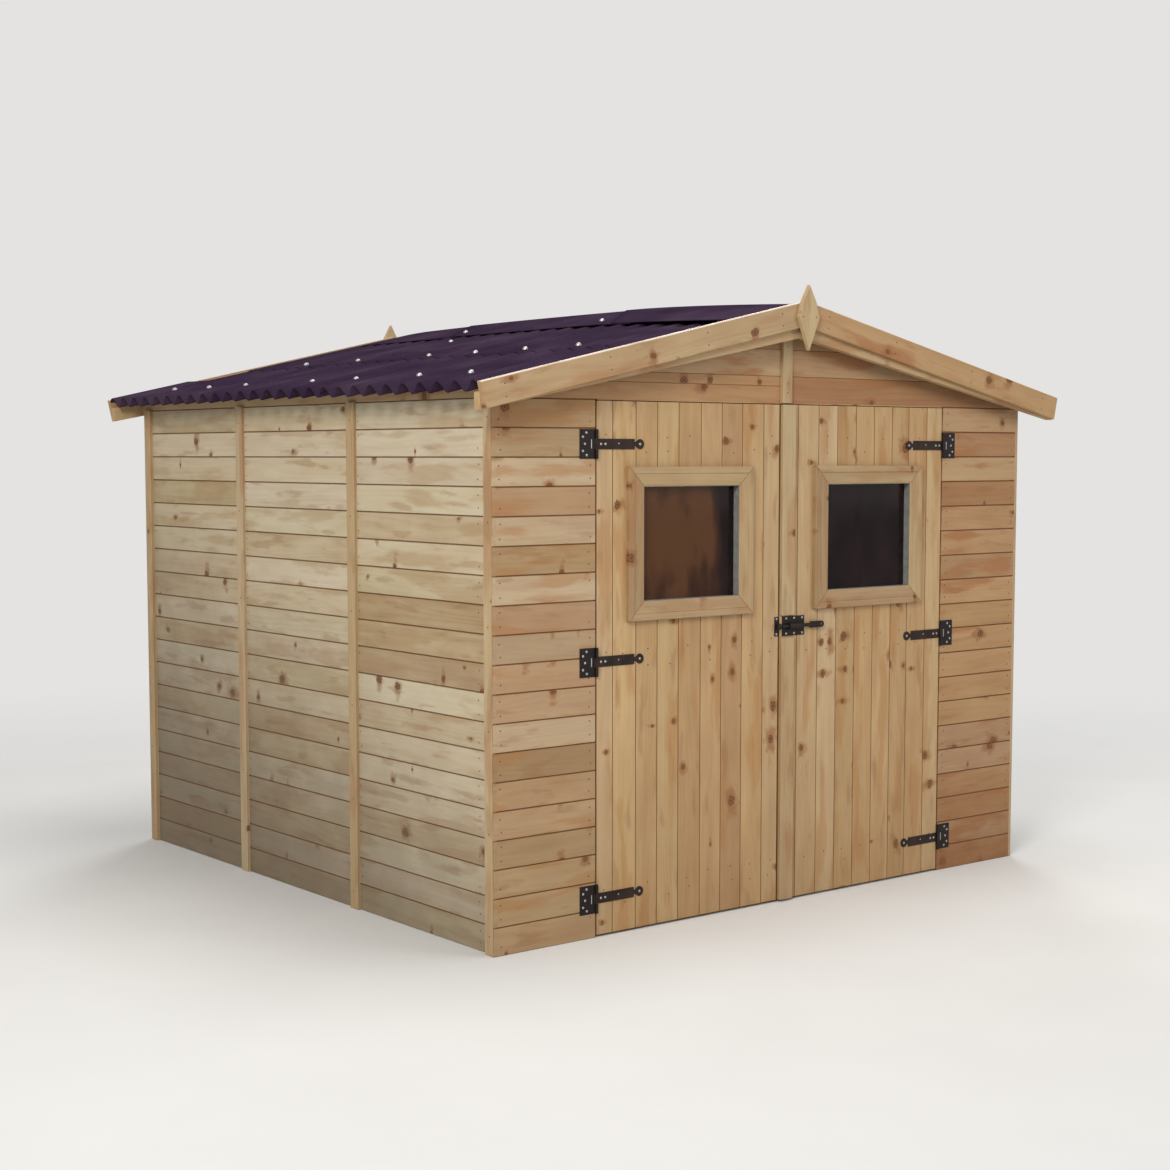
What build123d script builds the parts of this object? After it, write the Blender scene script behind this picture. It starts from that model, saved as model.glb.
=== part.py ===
from build123d import *
from math import cos, radians, sin, tan
import os

# Wooden garden shed with a shallow apex roof of corrugated sheets and a pair of
# ledged doors in one gable end. Millimetres and degrees. The origin is on the
# ground under the middle of the shed, +Z is up and the doors face -Y.

# ---------------------------------------------------------------- driving sizes
# body
shed_width = 2412
shed_depth = 2360
wall_height = 1710
board_thickness = 16
stud_depth = 28
stud_width = 45
panels_per_wall = 3
panel_gap = 2
cover_strip_width = 48
cover_strip_thickness = 12
corner_strip_thickness = 14
gable_strip_width = 45

# doorway and doors
doorway_width = 1620
doorway_offset = -13
sill_height = 28
sill_clearance = 6
door_gap = 5
door_ground_gap = 8
ledge_height = 90
ledge_end_gap = 30
brace_width = 70
meeting_strip_width = 62
meeting_strip_thickness = 12

# door windows
window_width = 413
window_height = 367
window_frame_drop = 211.5
left_window_x = -427.5
right_window_x = 403.5
window_frame_width = 63
window_frame_thickness = 18
pane_thickness = 3
pane_lap = 10
pane_edge_gap = 0.3
mitre_gap = 0.4

# T-hinges
low_hinge_height = 126
top_hinge_drop = 140
ledge_below_window = 76.5
hinge_plate_width = 65
hinge_plate_height = 92
hinge_plate_thickness = 2.5
strap_height = 33
strap_reach = 195
strap_neck_length = 7
strap_neck_height = 14
strap_tip_radius = 16
knuckle_radius = 5
hinge_pin_radius = 2.2
hinge_pin_clearance = 0.3
knuckle_notch_gap = 1.5
knuckle_end_gap = 0.5
knuckle_seat_gap = 0.5

# slide bolt
bolt_below_window = 19
bolt_plate_width = 104
bolt_plate_height = 67
bolt_plate_thickness = 2
bolt_plate_inset = 12
bolt_bar_radius = 6
bolt_bar_standoff = 10
bolt_bar_setback = 2
bolt_travel = 38
bolt_clearance = 0.4
bolt_stop_gap = 5
bolt_housing_length = 60
bolt_housing_wall = 4
tongue_length = 66
tongue_height = 22
tongue_thickness = 4
tongue_hole_radius = 4
keep_width = 18
keep_height = 66
keep_wall = 3
keep_clearance = 1.5
keep_inset = 1
meeting_strip_break = 5

# roof
roof_pitch = 12.6
eaves_plate_height = 36
eaves_overhang = 113
verge_overhang = 79
purlin_width = 44
purlin_depth = 36
middle_purlin_from_ridge = 775
ridge_purlin_from_ridge = 200
sheet_seat_gap = 0.3
sheet_thickness = 3
wave_pitch = 95
wave_height = 38
wave_flank_angle = 50
lap_edge_from_ridge = 815
lap_length = 150
lap_gap = 0.5
ridge_opening = 25
cap_wing = 300
cap_length = 1000
cap_thickness = 3
cap_round = 60
joint_gap = 0.5

# verges
barge_height = 85
barge_thickness = 18
barge_above_plane = 32
barge_overhang = 122
barge_clearance = 0.3
verge_batten_thickness = 28
verge_batten_drop = 36
finial_height = 217
finial_width = 95
finial_shoulder_width = 65
finial_thickness = 18
finial_above_barge = 52

# ------------------------------------------------------------- worked-out sizes
half_width = shed_width / 2
half_depth = shed_depth / 2
wall_thickness = board_thickness + stud_depth
doorway_left = doorway_offset - doorway_width / 2
doorway_right = doorway_offset + doorway_width / 2
meeting_line = -gable_strip_width / 2
front_face = -half_depth
front_board_back = front_face + board_thickness
front_stud_back = front_face + wall_thickness

rise = tan(radians(roof_pitch))
slope_cos = cos(radians(roof_pitch))
slope_sin = sin(radians(roof_pitch))
ridge_height = wall_height + eaves_plate_height + half_width * rise
eaves_from_ridge = half_width + eaves_overhang
waves = round((shed_depth + 2 * verge_overhang) / wave_pitch - 0.5)
sheet_half_length = (waves + 0.5) * wave_pitch / 2
verge_batten_back = sheet_half_length - verge_batten_thickness
barge_back = sheet_half_length + barge_clearance
barge_face = barge_back + barge_thickness
barge_end = half_width + barge_overhang
upper_sheet_lift = sheet_seat_gap + sheet_thickness + lap_gap
ridge_purlin_lift = upper_sheet_lift - sheet_seat_gap
cap_lift = upper_sheet_lift + wave_height + lap_gap

window_centre_z = wall_height - window_frame_drop - window_frame_width - window_height / 2
window_frame_bottom = window_centre_z - window_height / 2 - window_frame_width
middle_hinge_height = window_frame_bottom - ledge_below_window - ledge_height / 2
hinge_heights = [low_hinge_height, middle_hinge_height, wall_height - top_hinge_drop]
bolt_height = window_frame_bottom - bolt_below_window - bolt_plate_height / 2

os.makedirs("parts", exist_ok=True)


# ---------------------------------------------------------------------- helpers
def block(x, y, z):
    """Add a square-edged piece that reaches between two limits along each axis."""
    corner = (min(x), min(y), min(z))
    sizes = (max(x) - min(x), max(y) - min(y), max(z) - min(z))
    with Locations(corner):
        Box(*sizes, align=(Align.MIN, Align.MIN, Align.MIN))


def save(piece, name):
    """Name a finished piece and write its file."""
    piece.label = name
    export_step(piece, f"parts/{name}.step")


def cross_plane(y):
    """Upright plane across the shed, seen from the doors; extrusion runs towards -Y."""
    return Plane.XZ.offset(-y)


def roof_point(side, from_ridge, lift):
    """Point of the roof's section, lift measured square to the slope from its underside."""
    x = side * (from_ridge + lift * slope_sin)
    z = ridge_height - from_ridge * rise + lift * slope_cos
    return (x, z)


def roof_height(from_ridge, above=0):
    """Height of the roof's underside plane at a distance from the ridge."""
    return ridge_height - from_ridge * rise + above


def purlin_outline(side, from_ridge, lift, grow=0):
    """Section of a purlin set square to the slope, its top at the given lift."""
    half = purlin_width / 2 * slope_cos + grow
    return [
        roof_point(side, from_ridge - half, lift + grow),
        roof_point(side, from_ridge + half, lift + grow),
        roof_point(side, from_ridge + half, -purlin_depth - grow),
        roof_point(side, from_ridge - half, -purlin_depth - grow),
    ]


def eaves_plate_outline(side, grow=0):
    """Section of the bevelled plate on top of a side wall."""
    outer = half_width + grow
    inner = half_width - wall_thickness - grow
    return [
        (side * outer, wall_height - grow),
        (side * outer, roof_height(outer, grow)),
        (side * inner, roof_height(inner, grow)),
        (side * inner, wall_height - grow),
    ]


def panel_starts(start, end):
    """Starts and length of the equal wall panels between two limits."""
    length = (end - start - (panels_per_wall - 1) * panel_gap) / panels_per_wall
    return [start + number * (length + panel_gap) for number in range(panels_per_wall)], length


side_starts, side_panel_length = panel_starts(front_stud_back + panel_gap, half_depth)
back_limit = half_width - wall_thickness - panel_gap
back_starts, back_panel_length = panel_starts(-back_limit, back_limit)
sides = {"left": -1, "right": 1}
ends = {"front": -1, "back": 1}

# --------------------------------------------------------------- wall cladding
with BuildPart() as front_wall_left:
    block((-half_width, doorway_left), (front_face, front_board_back), (0, wall_height))
save(front_wall_left.part, "front_wall_left")

with BuildPart() as front_wall_right:
    block((doorway_right, half_width), (front_face, front_board_back), (0, wall_height))
save(front_wall_right.part, "front_wall_right")

for name, side in sides.items():
    outer = side * half_width
    with BuildPart() as wall_panels:
        for start in side_starts:
            block((outer, outer - side * board_thickness), (start, start + side_panel_length), (0, wall_height))
    save(wall_panels.part, f"{name}_wall_panels")

with BuildPart() as back_wall_panels:
    for start in back_starts:
        block((start, start + back_panel_length), (half_depth, half_depth - board_thickness), (0, wall_height))
save(back_wall_panels.part, "back_wall_panels")

# Each gable is two panels of boards, notched over the roof's purlins.
for name, end in ends.items():
    rear_face = front_board_back if end < 0 else half_depth
    with BuildPart() as gable:
        for side in sides.values():
            with BuildSketch(cross_plane(rear_face)):
                centre = joint_gap * side
                with BuildLine():
                    Polyline(
                        (centre, wall_height),
                        (centre, roof_height(joint_gap, -joint_gap)),
                        (side * half_width, roof_height(half_width, -joint_gap)),
                        (side * half_width, wall_height),
                        close=True,
                    )
                make_face()
            extrude(amount=board_thickness)
            with BuildSketch(cross_plane(rear_face)):
                with BuildLine():
                    Polyline(*eaves_plate_outline(side, joint_gap), close=True)
                make_face()
                with BuildLine():
                    Polyline(*purlin_outline(side, middle_purlin_from_ridge, 0, joint_gap), close=True)
                make_face()
                with BuildLine():
                    Polyline(
                        *purlin_outline(side, ridge_purlin_from_ridge, ridge_purlin_lift, joint_gap), close=True
                    )
                make_face()
            extrude(amount=board_thickness, mode=Mode.SUBTRACT)
    save(gable.part, f"{name}_gable")

# ----------------------------------------------------------------- wall frames
front_stud_y = (front_board_back, front_stud_back)
back_stud_y = (half_depth - wall_thickness, half_depth - board_thickness)

with BuildPart() as wall_posts:
    for outer, inner in (
        (-half_width, -half_width + stud_width),
        (doorway_left - stud_width, doorway_left),
        (doorway_right, doorway_right + stud_width),
        (half_width - stud_width, half_width),
    ):
        block((outer, inner), front_stud_y, (0, wall_height))
    for side in sides.values():
        stud_x = (side * (half_width - board_thickness), side * (half_width - wall_thickness))
        for start in side_starts:
            for edge in (start, start + side_panel_length - stud_width):
                block(stud_x, (edge, edge + stud_width), (0, wall_height))
    for start in back_starts:
        for edge in (start, start + back_panel_length - stud_width):
            block((edge, edge + stud_width), back_stud_y, (0, wall_height))
save(wall_posts.part, "wall_posts")

rail_levels = [0, (wall_height - stud_width) / 2, wall_height - stud_width]
with BuildPart() as wall_rails:
    for rail_x in (
        (-half_width + stud_width, doorway_left - stud_width),
        (doorway_right + stud_width, half_width - stud_width),
    ):
        for level in (rail_levels[0], rail_levels[-1]):
            block(rail_x, front_stud_y, (level, level + stud_width))
    block(
        (doorway_left, doorway_right),
        (front_board_back + sill_clearance, front_stud_back),
        (0, sill_height),
    )
    for level in rail_levels:
        for side in sides.values():
            stud_x = (side * (half_width - board_thickness), side * (half_width - wall_thickness))
            for start in side_starts:
                rail_y = (start + stud_width, start + side_panel_length - stud_width)
                block(stud_x, rail_y, (level, level + stud_width))
        for start in back_starts:
            rail_x = (start + stud_width, start + back_panel_length - stud_width)
            block(rail_x, back_stud_y, (level, level + stud_width))
save(wall_rails.part, "wall_rails")

# A tie across each gable and a pair of rafters that carry the purlins.
rafter_top = -purlin_depth
rafter_bottom = -purlin_depth - stud_width
tie_top = wall_height + stud_width
with BuildPart() as gable_frames:
    for rear_face in (front_stud_back, half_depth - board_thickness):
        tie_end = half_width - wall_thickness - joint_gap
        block((-tie_end, tie_end), (rear_face, rear_face - stud_depth), (wall_height, tie_top))
        for side in sides.values():
            foot = tie_top + joint_gap
            top_reach = (ridge_height + rafter_top / slope_cos - foot) / rise
            bottom_reach = (ridge_height + rafter_bottom / slope_cos - foot) / rise
            with BuildSketch(cross_plane(rear_face)):
                with BuildLine():
                    Polyline(
                        (side * joint_gap, roof_height(joint_gap, rafter_top / slope_cos)),
                        (side * top_reach, foot),
                        (side * bottom_reach, foot),
                        (side * joint_gap, roof_height(joint_gap, rafter_bottom / slope_cos)),
                        close=True,
                    )
                make_face()
            extrude(amount=stud_depth)
save(gable_frames.part, "gable_frames")

# ---------------------------------------------------------------- cover strips
side_joints = [start - panel_gap / 2 for start in side_starts[1:]]
back_joints = [start - panel_gap / 2 for start in back_starts[1:]]
half_strip = cover_strip_width / 2

for name, side in sides.items():
    outer = side * half_width
    corner_x = (outer, outer + side * corner_strip_thickness)
    with BuildPart() as side_strips:
        block(corner_x, (front_face, front_face + cover_strip_width), (0, wall_height))
        block(corner_x, (half_depth, half_depth - cover_strip_width), (0, wall_height))
        for joint in side_joints:
            strip_x = (outer, outer + side * cover_strip_thickness)
            block(strip_x, (joint - half_strip, joint + half_strip), (0, wall_height))
    save(side_strips.part, f"{name}_cover_strips")

with BuildPart() as back_cover_strips:
    strip_y = (half_depth, half_depth + cover_strip_thickness)
    for side in sides.values():
        block((side * half_width, side * (half_width - cover_strip_width)), strip_y, (0, wall_height))
    for joint in back_joints:
        block((joint - half_strip, joint + half_strip), strip_y, (0, wall_height))
    block(
        (-gable_strip_width / 2, gable_strip_width / 2),
        strip_y,
        (wall_height + joint_gap, roof_height(gable_strip_width / 2, -joint_gap)),
    )
save(back_cover_strips.part, "back_cover_strips")

with BuildPart() as front_gable_strip:
    block(
        (-gable_strip_width / 2, gable_strip_width / 2),
        (front_face - cover_strip_thickness, front_face),
        (wall_height + joint_gap, roof_height(gable_strip_width / 2, -joint_gap)),
    )
save(front_gable_strip.part, "front_gable_strip")

# -------------------------------------------------------------- roof structure
with BuildPart() as purlins:
    for side in sides.values():
        for outline in (
            eaves_plate_outline(side),
            purlin_outline(side, middle_purlin_from_ridge, 0),
            purlin_outline(side, ridge_purlin_from_ridge, ridge_purlin_lift),
        ):
            with BuildSketch(cross_plane(verge_batten_back)):
                with BuildLine():
                    Polyline(*outline, close=True)
                make_face()
            extrude(amount=2 * verge_batten_back)
save(purlins.part, "purlins")

# Tapered battens behind the bargeboards, showing more towards the ridge.
barge_top_z = barge_above_plane
barge_bottom_z = barge_above_plane - barge_height
# the foot of a bargeboard is cut square to its length, so its heel lies further in
barge_heel = barge_end - barge_height * slope_sin * slope_cos
with BuildPart() as verge_battens:
    for rear_face in (-verge_batten_back, sheet_half_length):
        for side in sides.values():
            with BuildSketch(cross_plane(rear_face)):
                with BuildLine():
                    Polyline(
                        (side * joint_gap, roof_height(joint_gap)),
                        (side * eaves_from_ridge, roof_height(eaves_from_ridge)),
                        (side * eaves_from_ridge, roof_height(eaves_from_ridge, barge_bottom_z)),
                        (side * joint_gap, roof_height(joint_gap, barge_bottom_z - verge_batten_drop)),
                        close=True,
                    )
                make_face()
            extrude(amount=verge_batten_thickness)
save(verge_battens.part, "verge_battens")

# ----------------------------------------------------------------- roof sheets
half_pitch = wave_pitch / 2
wave_rise = wave_height - sheet_thickness
flank = radians(wave_flank_angle)
wave_radius = (half_pitch * sin(flank) - wave_rise * cos(flank)) / (2 * (1 - cos(flank)))
arc_half_width = wave_radius * sin(flank)
arc_depth = wave_radius * (1 - cos(flank))


def wave_line(base):
    """Draw one face of the sheet's section: crests and valleys as arcs, joined by flanks."""
    low = base
    high = base + wave_rise
    previous = (-sheet_half_length, base + wave_rise / 2)
    first = previous
    for number in range(2 * waves + 1):
        centre = (number - waves) * half_pitch
        crest = number % 2 == 0
        peak = high if crest else low
        spring = high - arc_depth if crest else low + arc_depth
        arc_start = (centre - arc_half_width, spring)
        arc_end = (centre + arc_half_width, spring)
        Line(previous, arc_start)
        ThreePointArc(arc_start, (centre, peak), arc_end)
        previous = arc_end
    last = (sheet_half_length, base + wave_rise / 2)
    Line(previous, last)
    return first, last


sheet_rows = {
    "lower": (lap_edge_from_ridge - lap_length, eaves_from_ridge, sheet_seat_gap),
    "upper": (ridge_opening, lap_edge_from_ridge, upper_sheet_lift),
}
for name, side in sides.items():
    for row, (top, bottom, lift) in sheet_rows.items():
        x, z = roof_point(side, top, 0)
        down_slope = (side * slope_cos, 0, -slope_sin)
        with BuildPart() as roof_sheet:
            with BuildSketch(Plane(origin=(x, 0, z), x_dir=(0, side, 0), z_dir=down_slope)):
                with BuildLine():
                    under_start, under_end = wave_line(lift)
                    top_start, top_end = wave_line(lift + sheet_thickness)
                    Line(under_start, top_start)
                    Line(under_end, top_end)
                make_face()
            extrude(amount=(bottom - top) / slope_cos)
        save(roof_sheet.part, f"roof_sheet_{name}_{row}")

# Ridge caps: the middle one laps over the front and back ones.
cap_runs = [
    (-sheet_half_length, -sheet_half_length + cap_length, cap_lift),
    (sheet_half_length - cap_length, sheet_half_length, cap_lift),
    (-cap_length / 2, cap_length / 2, cap_lift + cap_thickness + lap_gap),
]
with BuildPart() as ridge_caps:
    for start, stop, lift in cap_runs:
        top_lift = lift + cap_thickness
        wing_from_ridge = cap_wing * slope_cos
        with BuildSketch(cross_plane(stop)):
            with BuildLine():
                Polyline(
                    roof_point(-1, wing_from_ridge, lift),
                    (0, ridge_height + lift / slope_cos),
                    roof_point(1, wing_from_ridge, lift),
                    roof_point(1, wing_from_ridge, top_lift),
                    (0, ridge_height + top_lift / slope_cos),
                    roof_point(-1, wing_from_ridge, top_lift),
                    close=True,
                )
            make_face()
            inner_corner = vertices().filter_by_position(Axis.X, -1, 1).sort_by(Axis.Y)[0]
            fillet(inner_corner, radius=cap_round)
            outer_corner = vertices().filter_by_position(Axis.X, -1, 1).sort_by(Axis.Y)[-1]
            fillet(outer_corner, radius=cap_round + cap_thickness)
        extrude(amount=stop - start)
save(ridge_caps.part, "ridge_caps")

# ------------------------------------------------------- bargeboards and finials
for end_name, end in ends.items():
    rear_face = -barge_back if end < 0 else barge_face
    for side_name, side in sides.items():
        with BuildPart() as bargeboard:
            with BuildSketch(cross_plane(rear_face)):
                with BuildLine():
                    Polyline(
                        (side * joint_gap, roof_height(joint_gap, barge_top_z)),
                        (side * barge_end, roof_height(barge_end, barge_top_z)),
                        (side * barge_heel, roof_height(barge_heel, barge_bottom_z)),
                        (side * joint_gap, roof_height(joint_gap, barge_bottom_z)),
                        close=True,
                    )
                make_face()
            extrude(amount=barge_thickness)
        save(bargeboard.part, f"bargeboard_{end_name}_{side_name}")

finial_top = ridge_height + barge_top_z + finial_above_barge
finial_shoulder = finial_top - 0.27 * finial_height
finial_waist = finial_top - 0.49 * finial_height
for end_name, end in ends.items():
    rear_face = -barge_face if end < 0 else barge_face + finial_thickness
    with BuildPart() as finial:
        with BuildSketch(cross_plane(rear_face)):
            with BuildLine():
                Polyline(
                    (0, finial_top),
                    (finial_shoulder_width / 2, finial_shoulder),
                    (finial_width / 2, finial_waist),
                    (0, finial_top - finial_height),
                    (-finial_width / 2, finial_waist),
                    (-finial_shoulder_width / 2, finial_shoulder),
                    close=True,
                )
            make_face()
        extrude(amount=finial_thickness)
    save(finial.part, f"finial_{end_name}")

# ----------------------------------------------------------------------- doors
door_bottom = door_ground_gap
door_top = wall_height - door_gap
ledge_back = front_stud_back
leaves = {
    "left": (doorway_left + door_gap, meeting_line - door_gap / 2, left_window_x),
    "right": (doorway_right - door_gap, meeting_line + door_gap / 2, right_window_x),
}
pane_opening = (window_width + 2 * pane_lap, window_height + 2 * pane_lap)


def mitred_bars(centre_x, width):
    """Outlines of the four mitred bars of a given width around a window's clear opening."""
    bars = []
    for end in (-1, 1):
        inner = end * window_height / 2
        outer = end * (window_height / 2 + width)
        near = window_width / 2 - mitre_gap
        bars.append([
            (centre_x - near, window_centre_z + inner),
            (centre_x + near, window_centre_z + inner),
            (centre_x + near + width, window_centre_z + outer),
            (centre_x - near - width, window_centre_z + outer),
        ])
        inner = end * window_width / 2
        outer = end * (window_width / 2 + width)
        near = window_height / 2
        bars.append([
            (centre_x + inner, window_centre_z - near),
            (centre_x + inner, window_centre_z + near),
            (centre_x + outer, window_centre_z + near + width),
            (centre_x + outer, window_centre_z - near - width),
        ])
    return bars


for name, side in sides.items():
    hinge_edge, meeting_edge, window_x = leaves[name]
    inward = -side
    with BuildPart() as door_boards:
        block((hinge_edge, meeting_edge), (front_face, front_board_back), (door_bottom, door_top))
        with Locations((window_x, (front_face + front_board_back) / 2, window_centre_z)):
            Box(pane_opening[0], board_thickness, pane_opening[1], mode=Mode.SUBTRACT)
    save(door_boards.part, f"{name}_door_boards")

    # Three ledges behind the hinges and a brace that rises from the hinge side.
    ledge_x = (hinge_edge + inward * ledge_end_gap, meeting_edge - inward * ledge_end_gap)
    brace_foot = hinge_heights[0] + ledge_height / 2 + joint_gap
    brace_head = hinge_heights[1] - ledge_height / 2 - joint_gap
    with BuildPart() as door_ledges:
        for height in hinge_heights:
            ledge_z = (height - ledge_height / 2, height + ledge_height / 2)
            block(ledge_x, (front_board_back, ledge_back), ledge_z)
        with BuildSketch(cross_plane(ledge_back)):
            with BuildLine():
                Polyline(
                    (ledge_x[0], brace_foot),
                    (ledge_x[0] + inward * brace_width, brace_foot),
                    (ledge_x[1], brace_head),
                    (ledge_x[1] - inward * brace_width, brace_head),
                    close=True,
                )
            make_face()
        extrude(amount=stud_depth)
    save(door_ledges.part, f"{name}_door_ledges")

    # A mitred frame outside, beads in the opening behind it, and the pane bedded on them.
    frame_y = (front_face - window_frame_thickness, front_face)
    bead_y = (front_face, front_board_back - pane_thickness)
    with BuildPart() as window_frame:
        for width, (near_y, far_y) in ((window_frame_width, frame_y), (pane_lap, bead_y)):
            with BuildSketch(cross_plane(far_y)):
                for outline in mitred_bars(window_x, width):
                    with BuildLine():
                        Polyline(*outline, close=True)
                    make_face()
            extrude(amount=far_y - near_y)
    save(window_frame.part, f"{name}_window_frame")

    with BuildPart() as window_pane:
        with Locations((window_x, front_board_back - pane_thickness / 2, window_centre_z)):
            Box(pane_opening[0] - 2 * pane_edge_gap, pane_thickness, pane_opening[1] - 2 * pane_edge_gap)
    save(window_pane.part, f"{name}_window_pane")

# --------------------------------------------------------------------- T-hinges
hinge_y = front_face - knuckle_seat_gap - knuckle_radius
hinge_plate_y = (front_face - hinge_plate_thickness, front_face)
half_strap = strap_height / 2
knuckle_start = half_strap + knuckle_end_gap
knuckle_length = hinge_plate_height / 2 - knuckle_start
upwards = (Align.CENTER, Align.CENTER, Align.MIN)

for name, side in sides.items():
    hinge_x = leaves[name][0] + side * door_gap / 2
    inward = -side
    with BuildPart() as hinge_plates:
        for height in hinge_heights:
            plate_z = (height - hinge_plate_height / 2, height + hinge_plate_height / 2)
            block((hinge_x + side * hinge_plate_width, hinge_x), hinge_plate_y, plate_z)
            notch = knuckle_radius + knuckle_notch_gap
            with Locations((hinge_x, front_face, height)):
                Box(2 * notch, 2 * hinge_plate_thickness, 2 * knuckle_start, mode=Mode.SUBTRACT)
            for start in (height + knuckle_start, height - hinge_plate_height / 2):
                with Locations((hinge_x, hinge_y, start)):
                    Cylinder(knuckle_radius, knuckle_length, align=upwards)
            with Locations((hinge_x, hinge_y, height)):
                Cylinder(hinge_pin_radius, hinge_plate_height)
    save(hinge_plates.part, f"{name}_hinge_plates")

    tip_centre = hinge_x + inward * (strap_reach - strap_tip_radius)
    body_end = tip_centre - inward * (strap_tip_radius + strap_neck_length)
    with BuildPart() as hinge_straps:
        for height in hinge_heights:
            block((hinge_x, body_end), hinge_plate_y, (height - half_strap, height + half_strap))
            neck_z = (height - strap_neck_height / 2, height + strap_neck_height / 2)
            block((body_end, tip_centre), hinge_plate_y, neck_z)
            with BuildSketch(cross_plane(front_face)):
                with Locations((tip_centre, height)):
                    Circle(strap_tip_radius)
            extrude(amount=hinge_plate_thickness)
            with Locations((hinge_x, hinge_y, height)):
                Cylinder(knuckle_radius, strap_height)
                Cylinder(hinge_pin_radius + hinge_pin_clearance, strap_height, mode=Mode.SUBTRACT)
    save(hinge_straps.part, f"{name}_hinge_straps")

# --------------------------------------------------- meeting edge and slide bolt
right_edge = leaves["right"][1]
left_edge = leaves["left"][1]
bolt_plate_z = (bolt_height - bolt_plate_height / 2, bolt_height + bolt_plate_height / 2)
bolt_y = front_face - bolt_bar_standoff
bolt_plate_face = front_face - bolt_plate_thickness

# The strip beside the meeting line is cut short above and below the bolt.
with BuildPart() as meeting_strips:
    strip_x = (right_edge, right_edge + meeting_strip_width)
    strip_y = (front_face - meeting_strip_thickness, front_face)
    block(strip_x, strip_y, (bolt_plate_z[1] + meeting_strip_break, door_top))
    block(strip_x, strip_y, (door_bottom, bolt_plate_z[0] - meeting_strip_break))
save(meeting_strips.part, "meeting_strips")

plate_start = right_edge + bolt_plate_inset
housing_middle = plate_start + bolt_plate_width / 2
housing_radius = bolt_bar_radius + bolt_clearance + bolt_housing_wall


def arch_line(radius):
    """Outline of an arch over the bolt's bar, standing on the plate's face."""
    low = bolt_height - radius
    high = bolt_height + radius
    Line((bolt_plate_face, low), (bolt_y, low))
    ThreePointArc((bolt_y, low), (bolt_y - radius, bolt_height), (bolt_y, high))
    Polyline((bolt_y, high), (bolt_plate_face, high), (bolt_plate_face, low))


with BuildPart() as bolt_plate:
    block((plate_start, plate_start + bolt_plate_width), (bolt_plate_face, front_face), bolt_plate_z)
    with BuildSketch(Plane.YZ.offset(housing_middle - bolt_housing_length / 2)):
        with BuildLine():
            arch_line(housing_radius)
        make_face()
        with Locations((bolt_y, bolt_height)):
            Circle(bolt_bar_radius + bolt_clearance, mode=Mode.SUBTRACT)
    extrude(amount=bolt_housing_length)
save(bolt_plate.part, "bolt_plate")

keep_end = left_edge - keep_inset
keep_bore = bolt_bar_radius + keep_clearance
with BuildPart() as bolt_keep:
    block(
        (keep_end - keep_width, keep_end),
        (bolt_plate_face, front_face),
        (bolt_height - keep_height / 2, bolt_height + keep_height / 2),
    )
    with BuildSketch(Plane.YZ.offset(keep_end - keep_width)):
        with BuildLine():
            arch_line(keep_bore + keep_wall)
        make_face()
        with Locations((bolt_y, bolt_height)):
            Circle(keep_bore, mode=Mode.SUBTRACT)
    extrude(amount=keep_width)
save(bolt_keep.part, "bolt_keep")

# The bolt is drawn back, with its tip just inside the right door's edge.
bar_tip = right_edge + bolt_bar_setback
tongue_start = housing_middle + bolt_housing_length / 2 + bolt_travel + bolt_stop_gap
with BuildPart() as bolt_bar:
    with BuildSketch(Plane.YZ.offset(bar_tip)):
        with Locations((bolt_y, bolt_height)):
            Circle(bolt_bar_radius)
    extrude(amount=tongue_start - bar_tip)
    tongue_round = tongue_height / 2
    with BuildSketch(cross_plane(bolt_y + tongue_thickness / 2)):
        with Locations((tongue_start + (tongue_length - tongue_round) / 2, bolt_height)):
            Rectangle(tongue_length - tongue_round, tongue_height)
        with Locations((tongue_start + tongue_length - tongue_round, bolt_height)):
            Circle(tongue_round)
            Circle(tongue_hole_radius, mode=Mode.SUBTRACT)
    extrude(amount=tongue_thickness)
save(bolt_bar.part, "bolt_bar")
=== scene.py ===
# %% [markdown]
# # A wooden garden shed, dressed for its portrait
# The frame that is loaded here is the shed as it is built: posts, rails, panels, doors
# and roof sheets at their real size. What it lacks is everything a saw, a nail and the
# weather leave behind. The cells below lay the separate boards, mould the window frames,
# roll the roof waves, drive the nails and screws, and give each surface its finish.

import bpy
import numpy as np
from math import cos, pi, radians, sin, tan
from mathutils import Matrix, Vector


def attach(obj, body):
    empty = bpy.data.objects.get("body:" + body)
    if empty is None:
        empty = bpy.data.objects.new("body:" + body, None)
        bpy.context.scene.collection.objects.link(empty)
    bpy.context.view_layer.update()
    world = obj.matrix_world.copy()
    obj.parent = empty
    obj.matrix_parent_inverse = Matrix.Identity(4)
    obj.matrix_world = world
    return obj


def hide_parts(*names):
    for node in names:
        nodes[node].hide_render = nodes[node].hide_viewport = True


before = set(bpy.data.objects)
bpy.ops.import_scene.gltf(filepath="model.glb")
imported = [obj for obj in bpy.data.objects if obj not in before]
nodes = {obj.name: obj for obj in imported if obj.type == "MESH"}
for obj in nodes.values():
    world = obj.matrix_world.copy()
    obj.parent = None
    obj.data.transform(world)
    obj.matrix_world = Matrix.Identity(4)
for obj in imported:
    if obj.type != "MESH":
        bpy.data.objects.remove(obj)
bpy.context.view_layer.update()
MM = 0.001
rng = np.random.default_rng(19)

# %% [markdown]
# ## Colours and nodes
# Colours are written as sRGB hex, the way a paint chart gives them, and turned to the
# linear values that a renderer adds up. One helper adds any shader node, sets its plain
# values and wires its inputs, so that a material reads from top to bottom like a recipe.


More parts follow.
